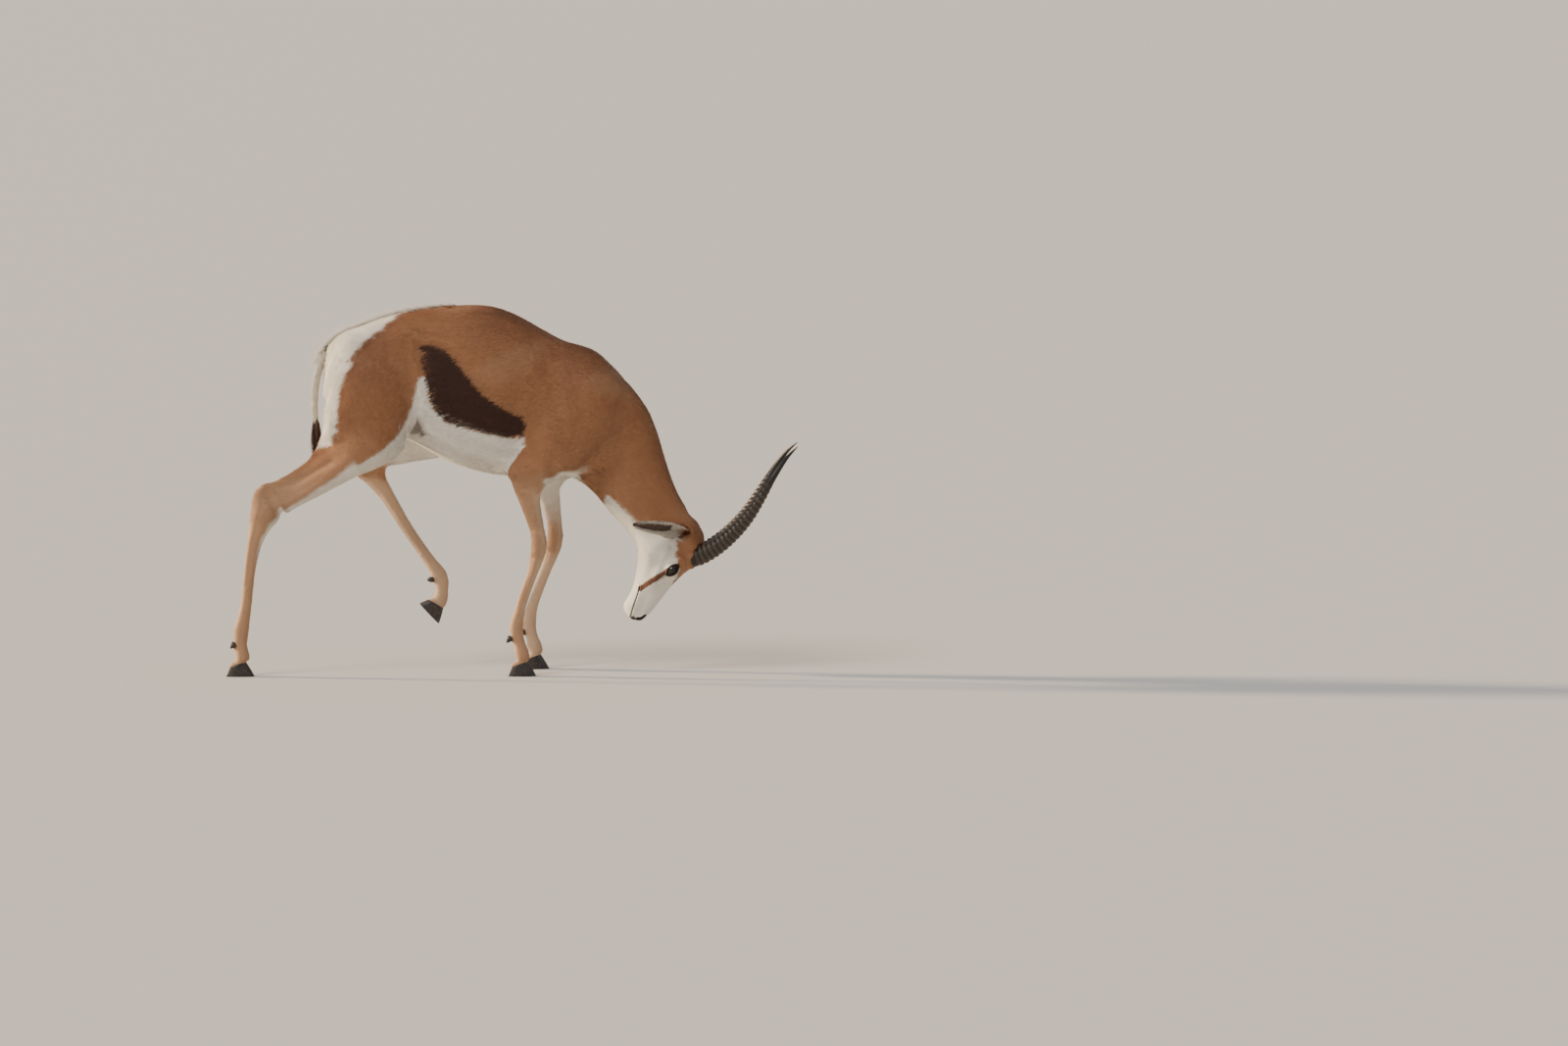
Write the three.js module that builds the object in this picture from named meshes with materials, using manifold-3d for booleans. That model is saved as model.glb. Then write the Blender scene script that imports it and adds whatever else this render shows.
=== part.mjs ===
// A life-size springbok ram in a fighting stance: back arched, head down, left hind foot off the ground.
// Millimetres. X runs forward along the body, Y to its left, Z up, and the hooves stand on Z = 0.
// The flesh is one smooth form, parted by thin cuts. Hooves, horns, ears, eyes and tail are on their own.

import * as THREE from "three";
import { mergeVertices } from "three/addons/utils/BufferGeometryUtils.js";
import Module from "manifold-3d";

// Driving sizes
const PARTING = 0.3; // gap between two pieces that meet
const MIDDLE_X = -24; // middle of the whole length, moved to X = 0

const HEAD_LENGTH = 260; // back of the skull to the nose
const HEAD_BACK = [352, 348]; // X and Z of the back of the skull
const HEAD_PITCH = 63.4; // degrees that the face points down, the nose towards the chest
const NECK_START = [120, 560];
const NECK_PITCH = 56; // degrees that the neck points down and forward

const EYE_RADIUS = 16.5;
const EYE_ALONG = 118; // from the back of the skull
const EYE_ABOVE = 30; // above the head's own axis
const EYE_ASIDE = 36.5; // from the middle of the head
const LID_THICKNESS = 2.6;

const HORN_RADIUS = 21.5;
const HORN_RINGS = 20;
const RING_HEIGHT = 1.5;
const HORN_SIDES = 10;

const EAR_LENGTH = 165;
const EAR_ROOT = 11;

const CLAW_HEEL = -34; // from the foot's middle
const CLAW_TOE = 30;
const CLAW_WIDTH = 16.5;
const CLEFT = 1.2; // half the space between two claws
const CORONET_HEIGHT = 30; // the top of the hoof, in its middle
const CORONET_SLOPE = 17; // degrees, higher in front

const TAIL_RADIUS = 11.5;
const TUFT_LOCKS = 8;

// The library that joins and cuts closed solids
const wasm = await Module();
wasm.setup();

const radians = THREE.MathUtils.degToRad;
const vector = (x, y, z) => new THREE.Vector3(x, y, z);
function even(from, to, count) {
  return Array.from({ length: count }, (_, i) => from + ((to - from) * i) / (count - 1));
}
const bothSides = (make) => [-1, 1].map(make);

// Masses of flesh as functions: how far a point lies outside the surface, or less than zero inside

function smoothMin(a, b, blend) {
  const near = Math.max(blend - Math.abs(a - b), 0) / blend;
  return Math.min(a, b) - near * near * blend * 0.25;
}

// A smooth curve through [place, value] pairs
function curve(pairs) {
  const places = pairs.map((pair) => pair[0]);
  const values = pairs.map((pair) => pair[1]);
  const through = new THREE.CubicInterpolant(places, values, 1, [0]);
  const first = places[0];
  const last = places[places.length - 1];
  return (place) => through.evaluate(Math.min(Math.max(place, first), last))[0];
}

// How far outside an oval a point is, along the line from the oval's middle. A power above 2 squares it.
function beyondOval(across, upward, halfWidth, halfHeight, power = 2) {
  const out = Math.hypot(across, upward);
  const share =
    power === 2
      ? Math.hypot(across / halfWidth, upward / halfHeight)
      : (Math.abs(across / halfWidth) ** power + Math.abs(upward / halfHeight) ** power) ** (1 / power);
  return share < 1e-6 ? -Math.min(halfWidth, halfHeight) : out * (1 - 1 / share);
}

// A mass from its outline seen from the side and its half width, at places along a straight axis.
// lean makes it narrower above its middle and wider below.
function outlineMass({ start, pitch, top, bottom, half, lean = 0, power = 2, blend }) {
  const along = [Math.cos(radians(pitch)), -Math.sin(radians(pitch))];
  const upward = [-along[1], along[0]];
  const [topAt, bottomAt, halfAt] = [curve(top), curve(bottom), curve(half)];
  const from = top[0][0];
  const to = top[top.length - 1][0];
  const distance = (p) => {
    const [dx, dz] = [p.x - start[0], p.z - start[1]];
    const place = dx * along[0] + dz * along[1];
    const height = dx * upward[0] + dz * upward[1];
    const held = Math.min(Math.max(place, from), to);
    const middle = (topAt(held) + bottomAt(held)) / 2;
    const halfHeight = Math.max((topAt(held) - bottomAt(held)) / 2, 2);
    const share = Math.min(Math.max((height - middle) / halfHeight, -1), 1);
    const halfWidth = Math.max(halfAt(held) * (1 - lean * share), 2);
    const side = beyondOval(p.y, height - middle, halfWidth, halfHeight, power);
    const past = Math.abs(place - held);
    return past > 0 ? Math.hypot(Math.max(side, 0), past) : side;
  };
  const at = (place, height, y) =>
    vector(
      start[0] + along[0] * place + upward[0] * height,
      y,
      start[1] + along[1] * place + upward[1] * height,
    );
  return { distance, blend, at };
}

// Past the end of a limb its surface closes as a dome
function domeDistance(side, past, radius) {
  return Math.hypot(Math.max(side + radius, 0), past) - radius;
}

// A mass along a smooth line of stations, each [x, y, z, half thickness fore and aft, half thickness across]
function limbMass(stations, blend, steps = 5) {
  const line = new THREE.CatmullRomCurve3(
    stations.map(([x, y, z]) => vector(x, y, z)),
    false,
    "centripetal",
  );
  const last = stations.length - 1;
  const deepAt = curve(stations.map((station, i) => [i, station[3]]));
  const wideAt = curve(stations.map((station, i) => [i, station[4]]));
  const knots = even(0, last, last * steps + 1).map((at) => ({
    point: line.getPoint(at / last),
    deep: deepAt(at),
    wide: wideAt(at),
  }));
  const links = knots.slice(1).map((end, i) => {
    const start = knots[i];
    const axis = end.point.clone().sub(start.point);
    const length = axis.length();
    axis.divideScalar(length);
    const across = vector(0, 1, 0).addScaledVector(axis, -axis.y).normalize();
    return { start, end, axis, length, across, fore: across.clone().cross(axis) };
  });
  const hull = new THREE.Box3().setFromPoints(knots.map((knot) => knot.point));
  const ball = hull.getBoundingSphere(new THREE.Sphere());
  const thickest = Math.max(...knots.map((knot) => knot.deep));
  const offset = vector(0, 0, 0);
  const distance = (p) => {
    const clear = p.distanceTo(ball.center) - ball.radius - thickest;
    if (clear > 60) {
      return clear;
    }
    let nearest = Infinity;
    for (const { start, end, axis, length, across, fore } of links) {
      offset.copy(p).sub(start.point);
      const along = offset.dot(axis);
      const share = Math.min(Math.max(along / length, 0), 1);
      const past = Math.abs(along - share * length);
      const deep = start.deep + (end.deep - start.deep) * share;
      const wide = start.wide + (end.wide - start.wide) * share;
      const side = beyondOval(offset.dot(across), offset.dot(fore), wide, deep);
      nearest = Math.min(nearest, past === 0 ? side : domeDistance(side, past, Math.min(deep, wide)));
    }
    return nearest;
  };
  return { distance, blend };
}

// An egg-shaped mass, turned in the side view
function eggMass(centre, [long, wide, high], pitch, blend) {
  const [cos, sin] = [Math.cos(radians(pitch)), Math.sin(radians(pitch))];
  const distance = (p) => {
    const [dx, dy, dz] = [p.x - centre.x, p.y - centre.y, p.z - centre.z];
    const [u, w] = [dx * cos - dz * sin, dx * sin + dz * cos];
    const out = Math.hypot(dx, dy, dz);
    const share = Math.hypot(u / long, dy / wide, w / high);
    return share < 1e-6 ? -Math.min(long, wide, high) : out * (1 - 1 / share);
  };
  return { distance, blend };
}

// Trunk, at places along X
const trunk = outlineMass({
  start: [0, 0],
  pitch: 0,
  top: [
    [-440, 662], [-434, 690], [-418, 722], [-395, 746], [-359, 766], [-315, 784], [-269, 797], [-225, 805],
    [-178, 809], [-130, 812], [-86, 811], [-50, 804], [-15, 790], [20, 771], [55, 751], [95, 731],
    [140, 716], [185, 686], [215, 640],
  ],
  bottom: [
    [-440, 648], [-434, 612], [-418, 585], [-395, 566], [-350, 545], [-300, 530], [-250, 508], [-213, 487],
    [-180, 468], [-142, 452], [-100, 440], [-60, 432], [0, 428], [50, 430], [90, 440], [140, 470],
    [185, 530], [215, 600],
  ],
  half: [
    [-440, 8], [-434, 26], [-418, 42], [-395, 54], [-350, 64], [-300, 68], [-250, 72], [-190, 82],
    [-120, 96], [-50, 102], [10, 98], [60, 88], [110, 76], [160, 64], [215, 40],
  ],
  lean: 0.16,
  power: 2.35,
  blend: 30,
});

// Neck, along its own axis
const neck = outlineMass({
  start: NECK_START,
  pitch: NECK_PITCH,
  top: [
    [-90, 60], [-50, 110], [-7, 132], [40, 140], [80, 139], [139, 124], [194, 106], [250, 92], [295, 86],
    [330, 74],
  ],
  bottom: [
    [-90, -20], [-50, -70], [-7, -100], [40, -108], [80, -98], [139, -72], [194, -64], [250, -62], [295, -56],
    [330, -40],
  ],
  half: [
    [-90, 30], [-50, 56], [-7, 66], [40, 68], [80, 66], [139, 60], [194, 56], [250, 51], [295, 46],
    [330, 36],
  ],
  lean: -0.06,
  blend: 40,
});

// Skull and muzzle, along the head from its back, and above and below its axis
const skull = outlineMass({
  start: HEAD_BACK,
  pitch: 180 - HEAD_PITCH,
  top: [
    [0, 28], [6, 42], [20, 54], [45, 63], [75, 66], [100, 64], [120, 58], [145, 49], [170, 43], [195, 38],
    [220, 33], [240, 26], [252, 16], [HEAD_LENGTH, 2],
  ],
  bottom: [
    [0, 0], [6, -20], [20, -38], [45, -56], [75, -65], [100, -64], [120, -57], [145, -46], [170, -38],
    [195, -33], [220, -30], [240, -26], [252, -18], [HEAD_LENGTH, -6],
  ],
  half: [
    [0, 20], [6, 30], [20, 38], [45, 43], [75, 45], [100, 44], [120, 40], [145, 32], [170, 27], [195, 24],
    [220, 23], [240, 21], [252, 16], [HEAD_LENGTH, 6],
  ],
  blend: 16,
});
const onHead = (along, above, aside) => skull.at(along, above, aside);
const headEgg = (along, above, aside, size, blend, turn = 0) =>
  eggMass(onHead(along, above, aside), size, 180 - HEAD_PITCH + turn, blend);

const headMasses = [
  skull,
  headEgg(60, 46, 0, [42, 36, 26], 14),
  headEgg(232, -21, 0, [20, 15, 12], 10),
  ...bothSides((side) => headEgg(36, 24, side * 34, [19, 14, 18], 12)),
  ...bothSides((side) => headEgg(70, 54, side * 22, [26, 22, 18], 12)),
  ...bothSides((side) => headEgg(113, 37, side * 36, [28, 14, 18], 16)),
  ...bothSides((side) => headEgg(86, -22, side * 31, [42, 15, 34], 16)),
  ...bothSides((side) => headEgg(144, 8, side * 27, [34, 8, 13], 18, 8)),
  ...bothSides((side) => headEgg(242, 13, side * 14, [13, 9, 12], 8)),
  ...bothSides((side) => headEgg(226, -9, side * 16, [24, 8, 12], 10)),
];

const shoulder = (side, shift) =>
  limbMass(
    [
      [128, side * 30, 690, 46, 22],
      [138, side * 54, 630, 66, 32],
      [132 + shift * 0.2, side * 68, 560, 74, 36],
      [92 + shift * 0.6, side * 76, 495, 60, 34],
      [34 + shift, side * 78, 448, 42, 28],
    ],
    34,
  );

const RIGHT_FORE = [
  [2, -77, 440, 36, 27],
  [8, -78, 410, 29, 22],
  [20, -79, 362, 22, 17.5],
  [31, -80, 318, 18, 15],
  [35, -81, 291, 19.5, 17.5],
  [31, -81, 264, 17.5, 15.5],
  [20, -82, 226, 13, 11.5],
  [5, -83, 184, 12.5, 11],
  [-9, -84, 140, 13, 11.5],
  [-16, -84, 104, 17, 15],
  [-10, -84, 76, 13.5, 13],
  [-2, -84, 44, 18.5, 17],
];
const LEFT_FORE = [
  [42, 77, 440, 36, 27],
  [48, 78, 410, 29, 22],
  [58, 80, 362, 22, 17.5],
  [65, 81, 318, 18, 15],
  [66, 82, 291, 19.5, 17.5],
  [61, 83, 264, 17.5, 15.5],
  [48, 84, 226, 13, 11.5],
  [32, 85, 184, 12.5, 11],
  [16, 86, 140, 13, 11.5],
  [8, 86, 104, 17, 15],
  [13, 86, 76, 13.5, 13],
  [22, 86, 44, 18.5, 17],
];

const RIGHT_THIGH = [
  [-338, -38, 712, 74, 28],
  [-344, -56, 655, 92, 42],
  [-342, -71, 595, 96, 49],
  [-334, -79, 545, 88, 47],
  [-316, -83, 512, 68, 42],
];
const RIGHT_GASKIN = [
  [-308, -84, 517, 50, 40],
  [-358, -86, 483, 41, 33],
  [-407, -86, 448, 32, 26],
  [-457, -85, 414, 25, 20],
  [-500, -84, 388, 21, 18],
  [-546, -83, 362, 23, 19],
];
const RIGHT_TENDON = [
  [-398, -80, 570, 34, 34],
  [-420, -84, 520, 26, 24],
  [-462, -85, 466, 13, 12],
  [-520, -84, 434, 9, 8],
  [-572, -83, 406, 11, 9],
  [-578, -83, 386, 16, 12],
  [-570, -83, 350, 26, 17],
];
const RIGHT_WEB = [
  [-400, -84, 490, 40, 14],
  [-460, -84, 440, 32, 9],
  [-520, -83, 408, 28, 9],
  [-562, -83, 386, 24, 12],
];
const RIGHT_CANNON = [
  [-558, -83, 362, 27, 19],
  [-572, -84, 336, 27, 18.5],
  [-585, -84, 300, 19, 14.5],
  [-597, -86, 240, 14.5, 12],
  [-607, -89, 148, 14, 11.5],
  [-618, -91, 94, 19, 15.5],
  [-618, -92, 68, 15, 13.5],
  [-614, -92, 42, 18.5, 17],
];

const LEFT_THIGH = [
  [-330, 38, 712, 74, 28],
  [-322, 56, 655, 90, 42],
  [-290, 72, 602, 90, 48],
  [-242, 84, 560, 74, 45],
  [-206, 90, 530, 58, 42],
];
const LEFT_GASKIN = [
  [-188, 93, 515, 50, 38],
  [-232, 100, 497, 40, 32],
  [-276, 107, 479, 31, 25],
  [-316, 114, 465, 24, 20],
  [-350, 120, 450, 24, 19],
];
const LEFT_TENDON = [
  [-300, 84, 572, 34, 30],
  [-332, 97, 534, 20, 18],
  [-362, 109, 507, 12, 11],
  [-386, 119, 488, 11, 9],
  [-384, 120, 472, 15, 12],
  [-362, 121, 446, 24, 17],
];
const LEFT_WEB = [
  [-290, 102, 510, 34, 14],
  [-330, 113, 488, 26, 10],
  [-366, 120, 468, 22, 12],
];
const LEFT_CANNON = [
  [-352, 120, 450, 25, 19],
  [-336, 121, 424, 25, 18],
  [-308, 121, 384, 18, 14.5],
  [-266, 121, 314, 14.5, 12],
  [-214, 120, 238, 14, 11.5],
  [-189, 120, 200, 19, 15.5],
  [-185, 120, 174, 15, 13.5],
  [-189, 120, 148, 18.5, 17],
];

const dock = limbMass([[-392, 0, 728, 26, 24], [-420, 0, 714, 18, 17], [-438, 0, 688, 12, 12.5]], 22);

function blended(masses) {
  return (p) => masses.reduce((found, mass) => smoothMin(found, mass.distance(p), mass.blend), 1e6);
}

const flesh = blended([
  trunk,
  neck,
  shoulder(-1, 0),
  shoulder(1, 40),
  limbMass(RIGHT_THIGH, 34),
  limbMass(LEFT_THIGH, 34),
  limbMass(RIGHT_GASKIN, 26),
  limbMass(LEFT_GASKIN, 26),
  limbMass(RIGHT_TENDON, 18),
  limbMass(LEFT_TENDON, 18),
  limbMass(RIGHT_WEB, 14),
  limbMass(LEFT_WEB, 14),
  limbMass(RIGHT_CANNON, 14),
  limbMass(LEFT_CANNON, 14),
  limbMass(RIGHT_FORE, 22),
  limbMass(LEFT_FORE, 22),
  dock,
  ...headMasses,
]);

// Round the trunk, the lines that look for the surface stop at the roots of the legs
function trunkFlesh(p) {
  const aside = Math.abs(p.y) - 24;
  const hindRoot = Math.min(aside, 476 - p.z, -215 - p.x);
  const leftStifle = Math.min(p.y - 58, 484 - p.z, -120 - p.x);
  const foreRoot = Math.min(aside, 440 - p.z, 125 - p.x);
  return Math.max(flesh(p), hindRoot, leftStifle, foreRoot);
}

// How far along a line from a point inside the flesh its surface lies, at most reach
function surfaceAlong(from, direction, reach, field) {
  const p = vector(0, 0, 0);
  const outside = (out) => field(p.copy(from).addScaledVector(direction, out));
  let low = 0;
  let high = 0;
  for (let tries = 0; tries < 300; tries++) {
    const found = outside(high);
    if (found >= 0) {
      break;
    }
    low = high;
    high += Math.max(-found * 0.45, 0.8);
    if (low >= reach) {
      return reach;
    }
  }
  for (let halvings = 0; halvings < 14; halvings++) {
    const middle = (low + high) / 2;
    if (outside(middle) < 0) {
      low = middle;
    } else {
      high = middle;
    }
  }
  return Math.min(low, reach);
}

// Closed triangles over rings of points, each ring the same way round, with a point at either end
function skinOver(rings, startPoint, endPoint) {
  const sides = rings[0].length;
  const points = [startPoint, ...rings.flat(), endPoint];
  const index = [];
  const at = (ring, side) => 1 + ring * sides + (side % sides);
  const last = rings.length - 1;
  for (let side = 0; side < sides; side++) {
    index.push(0, at(0, side + 1), at(0, side));
    index.push(points.length - 1, at(last, side), at(last, side + 1));
    for (let ring = 0; ring < last; ring++) {
      const [a, b, c, d] = [at(ring, side), at(ring, side + 1), at(ring + 1, side + 1), at(ring + 1, side)];
      if ((ring + side) % 2) {
        index.push(a, b, c, a, c, d);
      } else {
        index.push(a, b, d, b, c, d);
      }
    }
  }
  const geometry = new THREE.BufferGeometry().setFromPoints(points);
  geometry.setIndex(index);
  return geometry;
}

function smoothLine(points) {
  return new THREE.CatmullRomCurve3(
    points.map(([x, y, z]) => vector(x, y, z)),
    false,
    "centripetal",
  );
}

function ringFrame(axis) {
  const across = vector(0, 1, 0).addScaledVector(axis, -axis.y).normalize();
  return { across, upward: axis.clone().cross(across) };
}

// One ring of points on the flesh, its lines tilted along the axis by so many degrees
function fleshRing(centre, axis, tilt, { sides, reach, field, shrink }) {
  const { across, upward } = ringFrame(axis);
  return Array.from({ length: sides }, (_, side) => {
    const turn = (side / sides) * Math.PI * 2 + Math.PI / 2;
    const direction = across
      .clone()
      .multiplyScalar(Math.cos(turn))
      .addScaledVector(upward, Math.sin(turn))
      .multiplyScalar(Math.cos(radians(tilt)))
      .addScaledVector(axis, Math.sin(radians(tilt)));
    return centre.clone().addScaledVector(direction, surfaceAlong(centre, direction, reach, field) - shrink);
  });
}

// A sleeve of the flesh round a line of points. An end closes as a dome, or flat where a cut will follow.
function sleeve({ line, rings: count, sides, reach, domes = [false, false], field = flesh, shrink = 0 }) {
  const path = smoothLine(line);
  const stops = even(0, 1, count);
  const reachAt = typeof reach === "number" ? () => reach : curve(reach);
  const options = (stop) => ({ sides, reach: reachAt(stop), field, shrink });
  const place = (stop) => [path.getPointAt(stop), path.getTangentAt(stop)];
  const rings = stops.map((stop) => fleshRing(...place(stop), 0, options(stop)));
  const ends = [0, 1].map((stop) => {
    const [centre, axis] = place(stop);
    if (!domes[stop]) {
      return centre;
    }
    const outward = stop ? 1 : -1;
    for (const tilt of [28, 54, 75]) {
      const ring = fleshRing(centre, axis, tilt * outward, options(stop));
      rings.splice(stop ? rings.length : 0, 0, ring);
    }
    const direction = axis.clone().multiplyScalar(outward);
    const out = surfaceAlong(centre, direction, reachAt(stop), field) - shrink;
    return centre.clone().addScaledVector(direction, out);
  });
  return solidOf(skinOver(rings, ...ends));
}

function solidOf(geometry) {
  const bare = geometry.index ? geometry.toNonIndexed() : geometry.clone();
  bare.deleteAttribute("normal");
  bare.deleteAttribute("uv");
  const merged = mergeVertices(bare, 1e-3);
  return new wasm.Manifold(
    new wasm.Mesh({
      numProp: 3,
      vertProperties: merged.attributes.position.array,
      triVerts: new Uint32Array(merged.index.array),
    }),
  );
}

// Only the largest closed body of a solid
function largest(solid) {
  return solid.decompose().sort((a, b) => b.volume() - a.volume())[0];
}

// All that lies beyond a plane [x, z, the X and Z of its normal], moved back against the normal by so much
function beyond([x, z, normalX, normalZ], back = 0) {
  const far = 3000;
  const box = new THREE.BoxGeometry(far, far, far).translate(0, 0, far / 2 - back);
  box.applyQuaternion(
    new THREE.Quaternion().setFromUnitVectors(vector(0, 0, 1), vector(normalX, 0, normalZ).normalize()),
  );
  return solidOf(box.translate(x, 0, z));
}

// A block that fills an outline of [x, z] points, from inner to outer on one side of the body
function sideBlock(outline, side, inner, outer) {
  const shape = new THREE.Shape(outline.map(([x, z]) => new THREE.Vector2(x, z)));
  const block = new THREE.ExtrudeGeometry(shape, { depth: outer - inner, bevelEnabled: false });
  block.rotateX(Math.PI / 2);
  return solidOf(block.translate(0, side < 0 ? -inner : outer, 0));
}

// An outline moved outwards by so much
function grown(outline, by) {
  const points = outline.map(([x, z]) => new THREE.Vector2(x, z));
  const turn = THREE.ShapeUtils.area(points) > 0 ? 1 : -1;
  return points.map((point, i) => {
    const before = points[(i + points.length - 1) % points.length];
    const after = points[(i + 1) % points.length];
    const [inward, outward] = [point.clone().sub(before).normalize(), after.clone().sub(point).normalize()];
    const normal = new THREE.Vector2(inward.y + outward.y, -inward.x - outward.x).multiplyScalar(turn);
    const miter = (2 * by) / normal.lengthSq();
    return [point.x + normal.x * miter, point.y + normal.y * miter];
  });
}

const pieces = new Map();

// Trunk and neck are one sleeve, parted at the roots of the legs, of the neck, of the head and of the tail
const bodySleeve = sleeve({
  line: [
    [-388, 0, 672], [-330, 0, 668], [-240, 0, 662], [-140, 0, 640], [-40, 0, 612], [50, 0, 584],
    [130, 0, 552], [196, 0, 500], [246, 0, 428], [286, 0, 356], [312, 0, 300],
  ],
  rings: 38,
  sides: 26,
  reach: [[0, 260], [0.5, 260], [0.75, 190], [1, 130]],
  domes: [true, false],
  field: trunkFlesh,
});

const NECK_ROOT = [158, 565, 0.9, -0.44];
const THROAT = [305, 318, 0.325, -0.946];
const RIGHT_HAUNCH = [
  [-262, 470], [-243, 520], [-243, 590], [-262, 660], [-300, 704], [-370, 704], [-410, 668], [-424, 610],
  [-450, 560], [-460, 470],
];
const LEFT_HAUNCH = [
  [-215, 450], [-146, 450], [-128, 505], [-150, 560], [-200, 625], [-248, 690], [-300, 706], [-366, 704],
  [-402, 668],
  [-420, 600], [-420, 470],
];
const RIGHT_STIFLE = [-345, 487, -0.19, -0.98];
const LEFT_STIFLE = [-245, 500, -0.45, -0.89];
const RIGHT_FORE_ROOT = [
  [-48, 444], [-24, 486], [10, 502], [70, 502], [96, 478], [90, 440], [84, 200], [-52, 200],
];
const LEFT_FORE_ROOT = [
  [-8, 444], [14, 486], [46, 502], [106, 502], [130, 478], [128, 440], [124, 200], [-12, 200],
];
const HAUNCH_INSIDE = 40; // from the middle of the body
const FORE_INSIDE = 44;
const ASIDE = 300;

const legRoots = [
  { side: -1, outline: RIGHT_HAUNCH, inner: HAUNCH_INSIDE },
  { side: 1, outline: LEFT_HAUNCH, inner: HAUNCH_INSIDE },
  { side: -1, outline: RIGHT_FORE_ROOT, inner: FORE_INSIDE },
  { side: 1, outline: LEFT_FORE_ROOT, inner: FORE_INSIDE },
];

let body = bodySleeve;
for (const { side, outline, inner } of legRoots) {
  body = body.subtract(sideBlock(grown(outline, PARTING), side, inner - PARTING, ASIDE));
}
pieces.set("torso", largest(body.subtract(beyond(NECK_ROOT, PARTING))));
pieces.set("neck", largest(body.intersect(beyond(NECK_ROOT)).subtract(beyond(THROAT, PARTING))));

// Hind legs
const haunch = (side, outline) => sideBlock(outline, side, HAUNCH_INSIDE, ASIDE);
const hindLegs = [
  {
    name: "right",
    side: -1,
    thighLine: [[-345, -66, 690], [-344, -72, 620], [-338, -80, 560], [-330, -84, 500], [-330, -84, 460]],
    outline: RIGHT_HAUNCH,
    stifle: RIGHT_STIFLE,
    hock: [-532, 388, -0.9, -0.43],
    fetlock: [-611, 120, -0.16, -0.98],
    gaskinLine: [
      [-300, -84, 536], [-340, -86, 497], [-407, -86, 452], [-457, -85, 420], [-510, -84, 392],
      [-566, -83, 366],
    ],
    cannonLine: [
      [-574, -83, 388], [-568, -83, 350], [-585, -84, 300], [-597, -86, 240], [-607, -89, 148],
      [-614, -90, 108],
    ],
    pasternLine: [[-608, -90, 136], [-618, -91, 94], [-618, -92, 68], [-613, -92, 34], [-610, -92, 18]],
    foot: { x: -616, y: -92, z: 0, pitch: 0 },
  },
  {
    name: "left",
    side: 1,
    thighLine: [
      [-330, 66, 690], [-318, 72, 640], [-286, 82, 590], [-242, 88, 545], [-200, 92, 500], [-190, 94, 470],
    ],
    outline: LEFT_HAUNCH,
    stifle: LEFT_STIFLE,
    hock: [-350, 462, -0.66, -0.75],
    fetlock: [-203, 222, 0.5, -0.86],
    gaskinLine: [[-180, 93, 520], [-232, 100, 499], [-276, 107, 483], [-316, 114, 468], [-372, 120, 448]],
    cannonLine: [
      [-382, 120, 474], [-356, 121, 436], [-308, 121, 384], [-266, 121, 314], [-214, 120, 238],
      [-196, 120, 210],
    ],
    pasternLine: [[-210, 120, 236], [-189, 120, 200], [-185, 120, 174], [-190, 120, 140], [-196, 120, 122]],
    foot: { x: -212, y: 120, z: 117, pitch: 47 },
  },
];
const foreLegs = [
  {
    name: "right",
    side: -1,
    outline: RIGHT_FORE_ROOT,
    forearmLine: [
      [72, -72, 560], [50, -75, 510], [22, -77, 466], [7, -78, 430], [9, -78, 405], [20, -79, 362],
      [31, -80, 318],
      [34, -81, 280], [30, -81, 256],
    ],
    knee: [32, 270, -0.2, -0.98],
    fetlock: [-12, 124, -0.25, -0.97],
    cannonLine: [
      [35, -81, 288], [31, -81, 264], [20, -82, 226], [5, -83, 184], [-9, -84, 140], [-15, -84, 110],
    ],
    pasternLine: [[-10, -84, 138], [-16, -84, 104], [-10, -84, 76], [-1, -84, 36], [4, -84, 18]],
    foot: { x: 0, y: -84, z: 0, pitch: 0 },
  },
  {
    name: "left",
    side: 1,
    outline: LEFT_FORE_ROOT,
    forearmLine: [
      [108, 72, 560], [88, 75, 510], [62, 77, 466], [47, 78, 430], [49, 78, 405], [58, 80, 362],
      [65, 81, 318],
      [65, 82, 280], [60, 83, 256],
    ],
    knee: [62, 270, -0.22, -0.97],
    fetlock: [12, 124, -0.25, -0.97],
    cannonLine: [[66, 82, 288], [61, 83, 264], [48, 84, 226], [32, 85, 184], [16, 86, 140], [9, 86, 110]],
    pasternLine: [[14, 86, 138], [8, 86, 104], [13, 86, 76], [23, 86, 36], [28, 86, 18]],
    foot: { x: 24, y: 86, z: 0, pitch: 0 },
  },
];

// Where a foot stands: its sole's middle, with the toe pitched down by so many degrees
function footPlace({ x, y, z, pitch }) {
  return new THREE.Matrix4().makeRotationY(radians(pitch)).setPosition(x, y, z);
}

// All that lies below a foot's coronet
function belowCoronet(foot, back = 0) {
  const far = 400;
  const block = new THREE.BoxGeometry(far, far, far).translate(0, 0, back - far / 2);
  block.rotateY(radians(-CORONET_SLOPE)).translate(0, 0, CORONET_HEIGHT);
  return solidOf(block.applyMatrix4(footPlace(foot)));
}

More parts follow.
